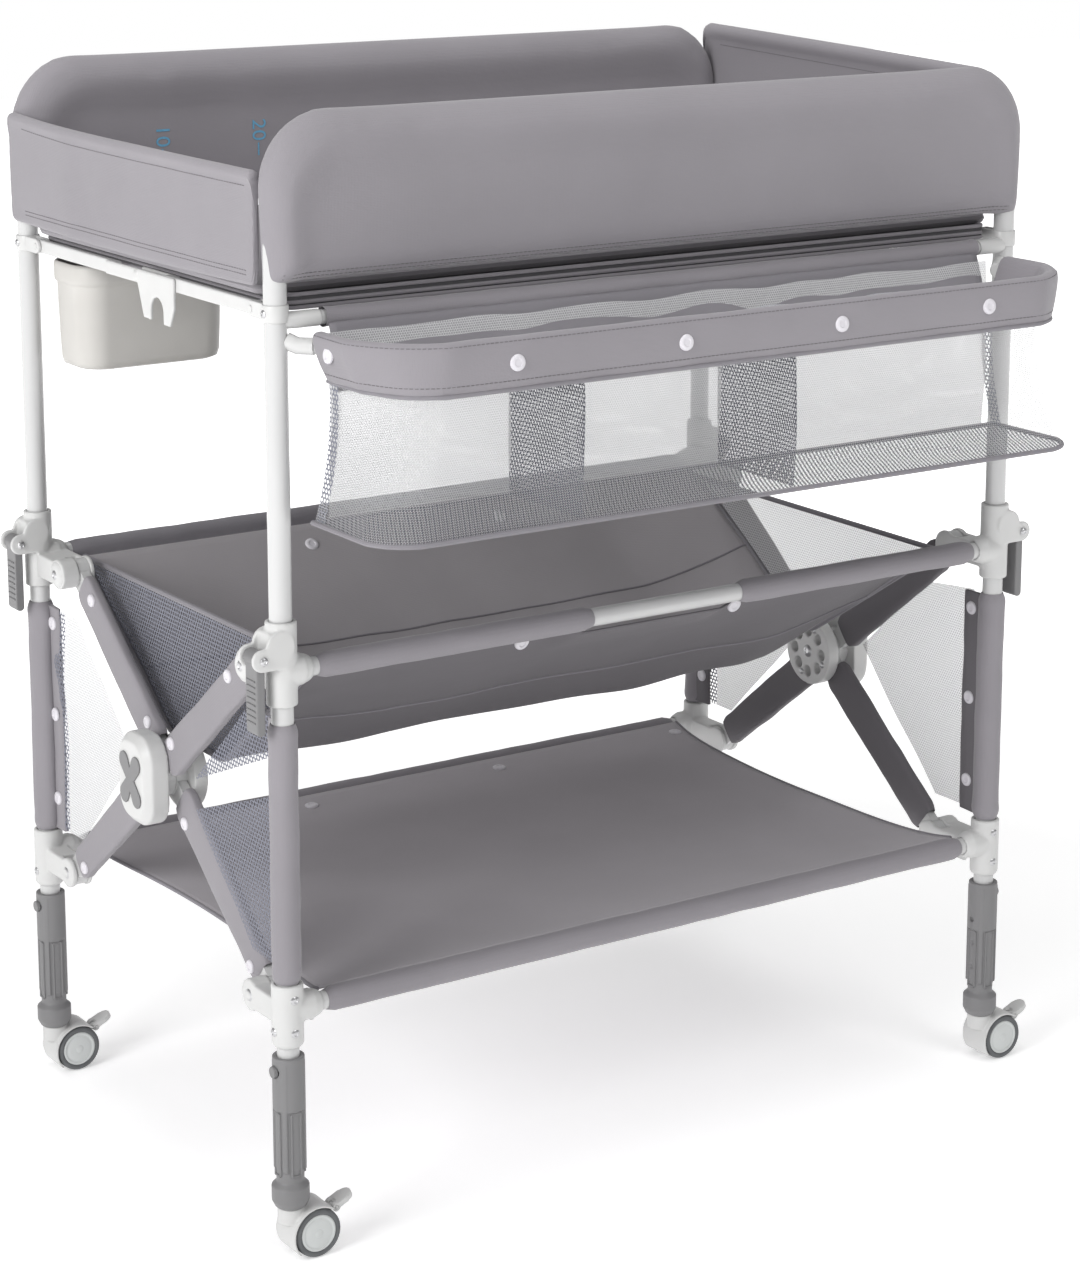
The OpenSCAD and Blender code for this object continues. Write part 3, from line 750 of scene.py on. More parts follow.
def mat():
    """The bed's padded floor with a piped edge, on a dark base board."""
    base_low, base_high = extent("bed_base")
    half_x = base_high.x - 1
    half_y = LEG_Y - 21
    shape = Shape()
    rings = []
    for inset, z in ((6, -10.5), (1.5, -8.5), (0, -5), (1, -1.8), (5, 0), (20, 0.6)):
        corner = max(14 - inset / 2, 4)
        rings.append(rounded_rectangle(half_x - inset, half_y - inset, corner, base_high.z + z))
    shape.loft(rings, capped=False)
    bottom = rounded_rectangle(half_x - 6, half_y - 6, 11, base_high.z - 10.5)
    shape.add(bottom, [list(range(len(bottom)))])

    def top(u, v):
        x = (2 * u - 1) * (half_x - 20)
        y = (2 * v - 1) * (half_y - 20)
        return (x, y, base_high.z + 0.6 + ripple((x, y, 0), 90, 0.8))
    shape.grid(top, 60, 34)
    cover = build("bed_mat", shape, "rear_frame", "fabric", ("bed_base",), weld=True, anchor_y=LEG_Y)
    rings = []
    for inset, z in ((2, 0), (0, 1.2), (0, 10), (1.5, 11.5)):
        size = (base_high.x - 16 - inset, base_high.y - 1 - inset)
        rings.append(rounded_rectangle(*size, 12, base_low.z + 0.5 + z))
    build("bed_board", Shape().loft(rings), "rear_frame", "black_band", anchor_y=LEG_Y)
    cords = Shape()
    for z in (1.8, 6.2, 12.5):
        outline = rounded_rectangle(base_high.x - 17, base_high.y - 1, 12, base_low.z + z)
        cords.tube(outline, 1.7, 8, closed=True)
    build("bed_board_piping", cords, "rear_frame", "fabric", anchor_y=LEG_Y)


mat()

# ---- tray and pocket --------------------------------------------------------------------

BAND_LOW, BAND_HIGH = extent("tray_band")
BAND_HALF = BAND_HIGH.x
TRAY_FRONT = BAND_LOW.y
BAND_REAR = BAND_HIGH.y
POCKET_LOW, POCKET_HIGH = extent("pocket_net")
POCKET_FLOOR = POCKET_LOW.z + 1
POCKET_TOP = BAND_LOW.z + 3
POCKET_HALF = POCKET_HIGH.x - 1
POCKET_FRONT = POCKET_LOW.y + 1
POCKET_REAR = POCKET_HIGH.y - 0.5
POCKET_DROP = POCKET_TOP - POCKET_FLOOR
POCKET_DEPTH = POCKET_REAR - POCKET_FRONT
DIVIDERS = (-172, 42)
RAIL_Y = -LEG_Y - 4
RAIL_Z = extent("tray_rim")[1].z - 6


def tray_line(half_x, front, corner, rear, flat):
    """The tray's outline from its left end round the front to its right end, as (point, outward) pairs.

    flat pulls each corner towards a straight diagonal.
    """
    left = []
    for k in range(10):
        y = rear + (front + corner - rear) * k / 10
        left.append((Vector((-half_x, y, 0)), Vector((-1, 0, 0))))
    centre = Vector((corner - half_x, front + corner, 0))
    for k in range(10):
        turn = math.pi / 2 * k / 9
        out = Vector((-math.cos(turn), -math.sin(turn), 0))
        chord = math.cos(turn) + math.sin(turn)
        pull = 1 - flat * (1 - 1 / chord) * 0.55
        left.append((centre + out * corner * pull, out))
    places = [(half_x - corner) * (k / 25 - 1) for k in range(1, 50)]
    straight = [(Vector((x, front, 0)), Vector((0, -1, 0))) for x in places]
    mirror = Vector((-1, 1, 1))
    return left + straight + [(point * mirror, out * mirror) for point, out in reversed(left)]


def tray_band():
    """The padded fabric band round the rim, with a seam line and a piped lower edge."""
    line = tray_line(BAND_HALF - 0.5, TRAY_FRONT + 0.5, 60, BAND_REAR, flat=0.8)
    height = BAND_HIGH.z - BAND_LOW.z
    section = [
        (-13, 0.96), (-10, 1.0), (-5.5, 1.0), (-2.2, 0.955), (-0.6, 0.86), (0.1, 0.7), (0.2, 0.5),
        (-0.3, 0.3), (-1.0, 0.2), (-0.9, 0.1), (-1.6, 0.03), (-3.5, 0.0), (-9, 0.0), (-12.5, 0.03),
        (-14.5, 0.2), (-15.2, 0.45), (-15.2, 0.7), (-14.6, 0.88),
    ]
    rings = []
    for point, out in line:
        ring = []
        for offset, share in section:
            wave = ripple((point.x, point.y, share * 60), 38, 1.5)
            tuck = (3 + 13 * out.x ** 4) * (1 - share) ** 1.3
            spot = point + out * (offset + wave - tuck)
            ring.append((spot.x, spot.y, BAND_LOW.z + share * height + ripple(spot, 55, 0.8)))
        rings.append(ring)
    band = mesh_object("tray_band_cover", Shape().loft(rings), "fabric", sharp=60)
    subdivide(band)
    dress(band, "front_frame", ("tray_band",))
    trim = Shape()
    trim.tube([p - o * (4.6 + 13 * o.x ** 4) + Vector((0, 0, BAND_LOW.z + 1.2)) for p, o in line], 1.9, 8)
    build("tray_band_piping", trim, "front_frame", "binding")
    rim = Shape()
    rim_z = extent("tray_rim")[0].z + 6
    rim.tube([p - o * (8.2 + 2.6 * o.x ** 4) + Vector((0, 0, rim_z)) for p, o in line], 5.6, 12)
    rail_end = LEG_X - 14
    rim.tube([(-rail_end, RAIL_Y, RAIL_Z), (rail_end, RAIL_Y, RAIL_Z)], 6, 16)
    build("tray_rim_tubes", rim, "front_frame", "white_paint", ("tray_rim",))
    seam = Shape()
    for share in (0.2, 0.93):
        seam_line = []
        for point, out in line:
            start = point + out * 40 + Vector((0, 0, BAND_LOW.z + share * height))
            seam_line.append(on_surface(band, start, -out, 0.1))
        stitches(seam, seam_line)
    build("tray_band_stitches", seam, "front_frame", "seam")
    studs = Shape()
    for x in (-243, -81, 79, 241):
        spot = on_surface(band, (x, TRAY_FRONT - 40, 771), (0, 1, 0), 0)
        snap(studs, spot, (0, -1, 0.1))
    for side in SIDES:
        spot = on_surface(band, (side * (BAND_HALF + 40), -284, 775), (-side, 0, 0), 0)
        snap(studs, spot, (side, 0, 0.1))
    build("tray_snaps", studs, "front_frame", "snap_plastic")


tray_band()


def pocket():
    """The net bag under the rim: light walls, and a close-knit floor and dividers with piping."""
    line = tray_line(POCKET_HALF, POCKET_FRONT, 32, POCKET_REAR, flat=0.6)
    upper_line = tray_line(POCKET_HALF, POCKET_FRONT, 58, POCKET_REAR, flat=0.9)
    points = [p for p, o in line]
    outs = [o for p, o in line]

    def on_line(u, lift=0.0):
        place = u * (len(points) - 1)
        k = min(int(place), len(points) - 2)
        low = points[k].lerp(points[k + 1], place - k)
        high = upper_line[k][0].lerp(upper_line[k + 1][0], place - k)
        return low.lerp(high, lift), outs[k].lerp(outs[k + 1], place - k).normalized()

    def wall(u, v):
        point, out = on_line(u, min(1.0, 1.3 * v))
        wave = ripple((point.x, point.y, v * 50), 80, 3) * (1 - v)
        pinch = -6 * math.sin(math.pi * v) - (7 + 13 * out.x ** 4) * v + wave
        spot = point + out * pinch
        return (spot.x, spot.y, POCKET_FLOOR + POCKET_DROP * v)
    skin = build("pocket_walls", Shape().grid(wall, 160, 12), "front_frame", "net_light", ("pocket_net",))

    def floor(u, v):
        point = on_line(u)[0]
        target = Vector((point.x, POCKET_REAR, 0))
        spot = point.lerp(target, v)
        sag = -2.5 * math.sin(math.pi * u) + ripple((spot.x, spot.y, 0), 60, 2.2)
        return (spot.x, spot.y, POCKET_FLOOR + 2 + sag * math.sin(math.pi * min(v, 0.999)))
    base = build("pocket_floor", Shape().grid(floor, 90, 12, axes=(0, 1)), "front_frame", "net_floor")
    edge = [p + Vector((0, 0, POCKET_FLOOR + 1)) for p in points]
    trim = Shape().tube(edge, 2.2).tube([edge[0], edge[-1]], 2.0)
    build("pocket_floor_piping", trim, "front_frame", "binding")

    panels = Shape()
    for x in DIVIDERS:
        def panel(u, v, x=x):
            y = POCKET_FRONT + 8 + (POCKET_DEPTH - 10) * u - 5 * math.sin(math.pi * v) * (0.5 - u)
            lean = 5 * math.sin(math.pi * v) * math.sin(math.pi * u) + ripple((x, y, v * 60), 50, 3)
            return (x + lean, y, POCKET_FLOOR + 1 + (POCKET_DROP - 1) * v)
        panels.grid(panel, 16, 14)
    dividers = build("pocket_dividers", panels, "front_frame", "net_floor")

    def back(u, v):
        x = (2 * u - 1) * (LEG_X - 36)
        edge_z = 786 + ripple((x, 0, 0), 60, 3.5)
        z = POCKET_FLOOR + 1 + (edge_z - POCKET_FLOOR - 1) * v
        belly = 4 * math.sin(math.pi * v) + ripple((x, 0, z), 70, 4) * math.sin(math.pi * v)
        return (x, POCKET_REAR - belly, z)
    panel_back = build("pocket_back", Shape().grid(back, 90, 20), "front_frame", "net_back")


def tray_cloths():
    """The apron that hangs from the tray's straight rail, and the gathered net edge inside the band."""
    def apron(u, v):
        x = (2 * u - 1) * (LEG_X - 42)
        low_z = 740 + ripple((x, 9, 0), 80, 5)
        y = RAIL_Y - 6 - 14 * math.sin(math.pi / 2 * v) - ripple((x, 3, v * 40), 60, 4) * v
        return (x, y, RAIL_Z - 3 + (low_z - RAIL_Z + 3) * v)
    flap = build("tray_apron", Shape().grid(apron, 90, 12), "front_frame", "binding")
    thicken(flap, 0.8)

    def frill(u, v):
        x = (2 * u - 1) * (BAND_HALF - 62)
        y = TRAY_FRONT + 16 + 40 * v + ripple((x, 60, 0), 40, 5)
        return (x, y, 788 - 9 * v + ripple((x, 0, 70), 46, 7) * (0.3 + 0.7 * v))
    ruffle = build("tray_net_gather", Shape().grid(frill, 110, 4), "front_frame", "net_gathered")


def pocket_corners():
    """Close-knit strips in the two rear corners of the pocket."""
    strips = Shape()
    for side in SIDES:
        def strip(u, v, side=side):
            return (side * (POCKET_HALF - 3 - 14 * v - 5 * math.sin(math.pi * v)), POCKET_REAR - 14 * u,
                    POCKET_FLOOR + 1 + POCKET_DROP * v)
        strips.grid(strip, 3, 12)
    corners = build("pocket_corner_strips", strips, "front_frame", "net_dense")


pocket()
tray_cloths()
pocket_corners()


def rail_wrap(name, body, centre_y, centre_z, ends, radius, finish="fabric"):
    """Cloth rolled round a rail between the two x values in ends, with a slightly lumpy face."""
    low_x, high_x = ends
    shape = Shape()
    rings = []
    steps = max(int((high_x - low_x) / 8), 4)
    for i in range(steps + 1):
        x = low_x + (high_x - low_x) * i / steps
        ring = []
        for turn in turns(20):
            size = radius + ripple((x, 30 * math.cos(turn), 30 * math.sin(turn)), 26, 0.55)
            if i in (0, steps):
                size = RAIL_R + 0.4
            ring.append((x, centre_y + size * math.cos(turn), centre_z + size * math.sin(turn)))
        rings.append(ring)
    shape.loft(rings, capped=False)
    return build(name, shape, body, finish, sharp=70)


rail_wrap("tray_rail_wrap", "front_frame", RAIL_Y, RAIL_Z, (-340, 340), 7.6)

# ---- basket -------------------------------------------------------------------------------

def blend_pair(first, second, share):
    """A point between two points, with the share of the second."""
    return tuple(a + (b - a) * share for a, b in zip(first, second))


SLING_LOW, SLING_HIGH = extent("basket_sling")
SLING_TOP = {-1: SLING_LOW.x, 1: SLING_HIGH.x}
SLING_FOOT = {-1: -336, 1: 336}
SLING_BOTTOM = SLING_LOW.z
GRIP_HALF = 79
WRAP_R = RAIL_R + 2.6


def sling_line(v, gather=0.0):
    """The sling's middle line from the front rail (v 0) down and up to the rear rail (v 1).

    Where the right end is gathered, the flat bottom is drawn up into a plain V.
    """
    loose = (
        (-LEG_Y + 15, 503), (-167, 463), (-108, 422), (-64, 385), (-50, 376),
        (50, 376), (64, 385), (108, 422), (167, 463), (LEG_Y - 15, 503),
    )
    drawn = (
        (-LEG_Y + 15, 510), (-172, 483), (-108, 442), (-50, 405), (-16, 384),
        (-8, 384), (28, 407), (82, 443), (145, 484), (LEG_Y - 26, 510),
    )
    stops = [blend_pair(a, b, gather) for a, b in zip(loose, drawn)]
    lengths = running([Vector((y, z, 0)) for y, z in stops])
    where = v * lengths[-1]
    k = 0
    while k + 2 < len(stops) and lengths[k + 1] < where:
        k += 1
    share = (where - lengths[k]) / (lengths[k + 1] - lengths[k])
    return (
        stops[k][0] + (stops[k + 1][0] - stops[k][0]) * share,
        stops[k][1] + (stops[k + 1][1] - stops[k][1]) * share,
    )


def sling_end(side, z):
    """X of one end of the sling at a height; both ends draw in towards the bottom."""
    share = max(0.0, (BASKET_Z + 3 - z) / (BASKET_Z + 3 - SLING_BOTTOM))
    return SLING_TOP[side] + (SLING_FOOT[side] - SLING_TOP[side]) * share


def basket():
    """The sling with its rail wraps, seams and snaps."""
    def cloth_point(u, v):
        y, z = sling_line(v)
        left, right = sling_end(-1, z) + 1, sling_end(1, z) - 1
        x = left + (right - left) * u
        y, z = sling_line(v, min(1.0, max(0.0, (x - 215) / 120) ** 1.6))
        sag = 4 * math.sin(math.pi * v) * math.sin(math.pi * u)
        edge = min(1.0, 6 * min(v, 1 - v))
        wave = ripple((x, y, z), 85, 4.5) * edge
        if v < 0.12:
            reach = max(0.0, 1 - abs(x) / (GRIP_HALF + 18))
            z -= 13 * min(1.0, reach * 5) * (1 - v / 0.12)
        return (x, y, z - sag - wave + 3)
    # The sling is the lighter copy of the grey cloth, as painted light on its inner faces.
    sling = mesh_object("basket_cloth", Shape().grid(cloth_point, 100, 60), "fabric_painted_light")
    # Faces of the sling's front part (y below -55) turn dark: painted shade on its underside.
    refinish(sling, "fabric_painted_shade", lambda spot: spot.y < -55)
    thicken(sling, 1.4)
    dress(sling, "rear_slider", ("basket_sling",))
    fold_cloth(sling)

    seams = Shape()
    for v in (0.27, 0.73):
        for lift in (1.3, -1.3):
            seams.tube([Vector(cloth_point(i / 60, v)) + Vector((0, 0, lift)) for i in range(61)], 1.1, 6)
    for u in (0.0, 1.0):
        seams.tube([cloth_point(u, v / 60) for v in range(61)], 2.0)
    build("basket_seams", seams, "rear_slider", "binding", anchor_y=LEG_Y)

    studs = Shape()
    slope = Vector((0, -0.65, 0.76))
    for x in (-134, 93):
        snap(studs, Vector((x, -211, 491)), Vector((0, -0.9, -0.35)))
    for x in (-110, 105):
        spot = Vector((x, *sling_line(0.95))) + Vector((0, 0, 3.5))
        snap(studs, spot, slope)
    build("basket_snaps", studs, "rear_slider", "snap_plastic", anchor_y=LEG_Y)

    rail_end = extent("front_rail_wraps")[1].x
    for side in SIDES:
        ends = sorted((side * GRIP_HALF, side * rail_end))
        name = "front_rail_cover_" + SIDES[side]
        rail_wrap(name, "front_slider", -LEG_Y, BASKET_Z, ends, WRAP_R)
    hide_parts("front_rail_wraps")
    rail_wrap("rear_rail_cover", "rear_slider", LEG_Y, BASKET_Z, (-rail_end, rail_end), WRAP_R - 1,
              finish="binding")


def end_nets():
    """The nets that close the two ends of the basket, with bound edges."""
    for side in SIDES:
        def point(u, v):
            y, z = sling_line(u, max(0, side))
            height = z + 3 + (BASKET_Z - 7 - z) * v
            belly = 1.2 + 1.5 * math.sin(math.pi * v) * min(1.0, 2.2 * min(u, 1 - u))
            return (sling_end(side, height) + side * belly, y, height)
        name = "basket_end_net_" + SIDES[side]
        shape = Shape().grid(point, 70, 16, axes=(1, 2))
        finish, replaced = ("net_dense", ("side_nets",)) if side < 0 else ("net_pale", ())
        net = build(name, shape, "rear_slider", finish, replaced, anchor_y=LEG_Y)
        edge = Shape().tube([point(k / 60, 1) for k in range(61)], 2.6)
        edge.tube([Vector(point(k / 60, 0)) + Vector((side * 1.5, 0, 0)) for k in range(61)], 2.6)
        build("basket_end_binding_" + SIDES[side], edge, "rear_slider", "binding", anchor_y=LEG_Y)


basket()
end_nets()

# ---- lower shelf ----------------------------------------------------------------------------


def shelf():
    """The lower shelf: cloth stretched between the bottom rails, with sides that draw in."""
    low, high = extent("lower_shelf")

    def point(u, v):
        y = low.y - 4 + (high.y - low.y + 8) * v
        draw = 18 * (1 - (y / high.y) ** 2)
        half = high.x - max(draw, 0)
        x = (2 * u - 1) * half
        sag = 3.2 * math.sin(math.pi * u) * math.sin(math.pi * v)
        lift = 6.5 * (2 * v - 1) ** 8
        return (x, y, SHELF_Z + lift - sag + ripple((x, y, 5), 110, 1.4) * math.sin(math.pi * v))
    # The shelf cloth is lighter than the pads' cloth, as painted light under the bed and basket.
    sheet = mesh_object("shelf_cloth", Shape().grid(point, 90, 60), "fabric_shelf_painted_light")
    thicken(sheet, 1.6)
    dress(sheet, "rear_frame", ("lower_shelf",))
    fold_cloth(sheet)
    trim = Shape()
    for u in (0.0, 1.0):
        trim.tube([point(u, v / 60) for v in range(61)], 1.8, 8)
    build("shelf_side_binding", trim, "rear_frame", "binding", anchor_y=LEG_Y)
    studs = Shape()
    for x in (-330, -112, 108, 330):
        spot = Vector((x, 203, SHELF_Z + 3.2))
        snap(studs, spot, (0, 0, 1))
    build("shelf_snaps", studs, "rear_frame", "snap_plastic", anchor_y=LEG_Y)
    for end in ENDS:
        body = ENDS[end] + "_frame"
        name = "shelf_" + ENDS[end] + "_wrap"
        rail_wrap(name, body, end * LEG_Y, SHELF_Z, (low.x + 1, high.x - 1), WRAP_R)


shelf()

# ---- folding sides ----------------------------------------------------------------------------


def leg_sleeve(end):
    """Cloth sleeves round the legs of one frame, with a snapped flap that faces the braces."""
    low, high = extent(ENDS[end] + "_leg_sleeves")
    shape = Shape()
    flaps = Shape()
    studs = Shape()
    for side in SIDES:
        rings = []
        steps = 34
        for i in range(steps + 1):
            z = low.z + (high.z - low.z) * i / steps
            flare = 0.8 if i in (1, steps - 1) else 0.0
            ring = []
            for turn in turns(28):
                size = 12.3 + flare + ripple((9 * math.cos(turn) + 50 * side, 9 * math.sin(turn), z), 22, 0.8)
                if i in (0, steps):
                    size = 10.2
                ridge = max(0.0, math.cos(turn + end * math.pi / 2)) ** 6
                size += 3.2 * ridge if 0 < i < steps else 0
                ring.append((side * LEG_X + size * math.cos(turn), end * LEG_Y + size * math.sin(turn), z))
            rings.append(ring)
        shape.loft(rings, capped=False)
        rings = []
        for i in range(steps + 1):
            z = low.z + 3 + (high.z - low.z - 6) * i / steps
            wave = ripple((side * 70, end * 50, z), 30, 2.4)
            ring = []
            for out, off in ((9, 2.6), (20, 2.0), (30, 1.7), (31, 0), (30, -1.7), (20, -2.0), (9, -2.6)):
                x = side * (LEG_X - 5) + off + wave * (out / 31) ** 2
                ring.append((x, end * (LEG_Y - out), z))
            rings.append(ring)
        flaps.loft(rings)
        for z in (278, 360, 448):
            for face in (-1, 1):
                centre = (side * (LEG_X - 5) + face * 2.4, end * (LEG_Y - 20), z)
                snap(studs, centre, (face, 0, 0), 6.5)
    body = ENDS[end] + "_frame"
    sleeve = build(ENDS[end] + "_leg_covers", shape, body, "fabric", (ENDS[end] + "_leg_sleeves",), sharp=60)
    subdivide(sleeve)
    made = build(ENDS[end] + "_leg_flaps", flaps, body, "fabric", sharp=60)
    # Flaps on the right (x above 0) turn dark: painted shade on the side away from the key lamp.
    refinish(made, "fabric_painted_shade", lambda spot: spot.x > 0)
    build(ENDS[end] + "_leg_snaps", studs, body, "snap_plastic")


for end in ENDS:
    leg_sleeve(end)

BRACE_RUN = 2 * PIVOT_Y
BRACE_RISE = PIVOT_HIGH - PIVOT_LOW
BRACE_LENGTH = math.hypot(BRACE_RUN, BRACE_RISE)
BRACE_ANGLE = math.atan2(BRACE_RISE, BRACE_RUN)


def along_brace(side, lean, layer_x, distance, across):
    """A point of a brace: distance up from its lower pivot, and across it towards the outside of the X."""
    y = -lean * PIVOT_Y + lean * (distance * math.cos(BRACE_ANGLE) - across * math.sin(BRACE_ANGLE))
    z = PIVOT_LOW + distance * math.sin(BRACE_ANGLE) + across * math.cos(BRACE_ANGLE)
    return Vector((side * (LEG_X + layer_x), y, z))


def brace_covers(lean, layer, body, node, widths):
    """Cloth covers over one pair of braces with hems and snaps. widths are the half widths at the
    lower joint, on both sides of the hub and at the upper joint."""
    centre = middle(*layer)
    shape = Shape()
    studs = Shape()
    half_length = BRACE_LENGTH / 2
    stretches = (
        (17, half_length - 30, widths[0], widths[1]),
        (half_length + 30, BRACE_LENGTH - 17, widths[2], widths[3]),
    )
    for side in SIDES:
        for start, stop, width_start, width_stop in stretches:
            rings = []
            steps = 26
            for i in range(steps + 1):
                share = i / steps
                distance = start + (stop - start) * share
                width = width_start + (width_stop - width_start) * share
                hem = 1.06 if i in (1, steps - 1) else 1.0
                ring = []
                for turn in turns(24):
                    flat = abs(math.cos(turn)) ** 0.55 * math.copysign(1, math.cos(turn))
                    depth = abs(math.sin(turn)) ** 0.45 * math.copysign(1, math.sin(turn))
                    wave = ripple((distance, 14 * flat, 300 * lean + 80 * side + 14 * depth), 26, 1.1)
                    across = (width * hem + wave) * flat
                    off = (5.6 + wave * 0.15) * depth
                    if i in (0, steps):
                        across *= 0.86
                        off *= 0.9
                    ring.append(along_brace(side, lean, centre + off, distance, across))
                rings.append(ring)
            shape.loft(rings, capped=False)
        for distance in (half_length - 50, half_length + 50, 30, BRACE_LENGTH - 40):
            spot = along_brace(side, lean, centre + 5.6, distance, -8 if distance < half_length else 8)
            snap(studs, spot, (side, 0, 0), 6.0)
    covers = build(ENDS[lean] + "_leaning_covers", shape, body, "fabric", (node,), sharp=60)
    # Covers on the right (x above 0) turn dark: painted shade on the side away from the key lamp.
    refinish(covers, "fabric_painted_shade", lambda spot: spot.x > 0)
    subdivide(covers)
    build(ENDS[lean] + "_leaning_snaps", studs, body, "snap_plastic")


brace_covers(-1, LAYER_A, "rising_pair", "rising_brace_sleeves", (15.5, 19, 17.5, 16.5))
brace_covers(1, LAYER_B, "falling_pair", "falling_brace_sleeves", (17.5, 19, 19, 17))


def gusset(name, body, anchor_y, side, corners, finish):
    """A flat net between a leg and the braces, from four corners given as (y, z)."""
    a, b, c, d = [Vector(corner) for corner in corners]

    def point(u, v):
        spot = a.lerp(b, u).lerp(d.lerp(c, u), v)
        return (side * (LEG_X - 4) + ripple((spot.x, spot.y, side * 70), 60, 2.5), spot.x, spot.y)
    net = build(name, Shape().grid(point, 24, 24, axes=(1, 2)), body, finish, anchor_y=anchor_y)


for side in SIDES:
    name = SIDES[side]
    front_net = "net_dense" if side < 0 else "net_pale"
    gap, drift = (34, 0) if side < 0 else (0, 18)
    gusset("front_gusset_high_" + name, "front_frame", -LEG_Y, side,
           ((-214, 399 + gap), (-68 + drift, 373), (-160 + drift, 458), (-214, 466)), front_net)
    gusset("front_gusset_low_" + name, "front_frame", -LEG_Y, side,
           ((-214, 250), (-165, 250), (-68 + drift, 373 - 0.8 * gap), (-214, 399)), front_net)
    gusset("rear_gusset_" + name, "rear_frame", LEG_Y, side,
           ((192, 250), (165, 250), (52, 360), (192, 360)), "net_pale")
    gusset("rear_gusset_high_" + name, "rear_frame", LEG_Y, side,
           ((192, 360), (52, 360), (165, 462), (192, 462)), "net_pale")
    gusset("rear_gusset_edge_" + name, "rear_frame", LEG_Y, side,
           ((214, 250), (192, 250), (192, 462), (214, 462)), "net_dense")

# ---- moulded parts --------------------------------------------------------------------------------

for node, body, voxel, passes in (
    ("rear_leg_joints", "rear_frame", 1.1, 5), ("front_leg_joints", "front_frame", 1.1, 5),
    ("rear_collars", "rear_slider", 1.1, 5), ("front_collars", "front_slider", 1.1, 5),
    ("rear_stays", "rear_stay_pair", 0.9, 3), ("front_stays", "front_stay_pair", 0.9, 3),
    ("hub_caps", "rising_pair", 1.2, 8), ("hub_backs", "falling_pair", 1.1, 3),
):
    softened(node, body, "white_plastic", voxel, passes)


STAY_INSET = LEG_Y - extent("rear_stays")[1].y + 6.5


def stay_brackets(end, node):
    """Slim saddles on the legs that hold the stays, and on the front legs the tray."""
    shape = Shape()
    stay_z = middle(*extent("front_stays")).z
    for side in SIDES:
        leg = Vector((side * LEG_X, end * LEG_Y, 0))
        ring = [(9.7, 796), (10.4, 796), (10.8, 797), (10.8, 809), (10.4, 810), (9.7, 810), (9.7, 796)]
        shape.lathe(ring, leg, (0, 0, 1), 28)
        for off in (-4.8, 4.8):
            outline = []
            for k in range(9):
                turn = math.radians(-90 + 180 * k / 8)
                outline.append(leg + Vector((off - 1.4, -end * (STAY_INSET + 6.5 * math.cos(turn)),
                                             stay_z + 6.5 * math.sin(turn))))
            outline.append(leg + Vector((off - 1.4, -end * 8, stay_z + 6.5)))
            outline.append(leg + Vector((off - 1.4, -end * 8, stay_z - 6.5)))
            shape.prism(outline, (2.8, 0, 0))
        pin = leg + Vector((0, -end * STAY_INSET, stay_z))
        shape.tube([pin - Vector((7, 0, 0)), pin + Vector((7, 0, 0))], 3, 12)
        if end < 0:
            rim_z = extent("tray_rim")[0].z + 6
            elbows = (
                [(7, -4, rim_z + 4), (14, -10, rim_z), (24, -20, rim_z)],
                [(6, -2, RAIL_Z), (16, -4, RAIL_Z), (36, -4, RAIL_Z)],
            )
            for elbow in elbows:
                shape.tube([leg + Vector((-side * x, y, z)) for x, y, z in elbow], 7.0, 16)
    made = build(ENDS[end] + "_brackets", shape, ENDS[end] + "_frame", "white_plastic", (node,), sharp=50)
    round_edges(made, 0.5)


stay_brackets(-1, "front_tray_brackets")
stay_brackets(1, "rear_stay_brackets")


def paint_cad(nodes, finish):
    """CAD nodes whose shape is right keep it and get a finish."""
    for node in nodes:
        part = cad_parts[node]
        part.data.materials.clear()
        part.data.materials.append(finishes[finish])
        part.data.shade_smooth()
        part.data.set_sharp_from_angle(angle=math.radians(32))


paint_cad(
    ("rear_frame_tube", "front_frame_tube", "rear_bottom_rail", "front_bottom_rail",
     "rising_braces", "falling_braces", "front_basket_rail", "rear_basket_rail"),
    "white_paint",
)


def hub_details():
    """The four-lobed badge, cap ribs and screws of the two hubs."""
    for side in SIDES:
        face_x = extent("hub_badges")[1].x - 1.2
        badge = Shape()
        ribs = Shape()
        outline = []
        for lobe, gap, inner in ((53, 90, 10.5), (127, 180, 7.5), (233, 270, 10.5), (307, 360, 7.5)):
            heading = math.radians(lobe)
            between = math.radians(gap)
            for k in range(9):
                turn = heading + math.radians(-105 + 210 * k / 8)
                y = 19 * math.cos(heading) + 8.3 * math.cos(turn)
                z = 19 * math.sin(heading) + 8.3 * math.sin(turn)
                outline.append((side * face_x, y, HUB_Z + z))
            outline.append((side * face_x, inner * math.cos(between), HUB_Z + inner * math.sin(between)))
        badge.prism(outline, (side * 1.4, 0, 0))
        made = build("hub_badge_" + SIDES[side], badge, "rising_pair", "grey_plastic",
                     ("hub_badges",) if side < 0 else ())
        round_edges(made, 0.5)
        for y in (-1, 1):
            for z in (-1, 1):
                for step in (0, 4.5, 9):
                    start = Vector((side * (LEG_X + 3 + step * 1.3), y * 27.5, HUB_Z + z * 12))
                    ribs.tube([start, start + Vector((0, 0, z * 14))], 1.1, 6)
        build("hub_ribs_" + SIDES[side], ribs, "rising_pair", "white_plastic")
        screws = Shape()
        back_x = LEG_X + LAYER_B[0] - 13
        for quarter in range(4):
            turn = math.radians(90 * quarter + 22)
            spot = (side * back_x, 25 * math.cos(turn), HUB_Z + 25 * math.sin(turn))
            rivet(screws, spot, (-side, 0, 0), 3.4)
        rivet(screws, (side * back_x, 0, HUB_Z), (-side, 0, 0), 6.5, 1.8)
        build("hub_screws_" + SIDES[side], screws, "falling_pair", "steel")


hub_details()


JOINT_SCREW_Z = (203, 232)
BRACKET_SCREW_Z = 803
COLLAR_SCREW_Z = 525


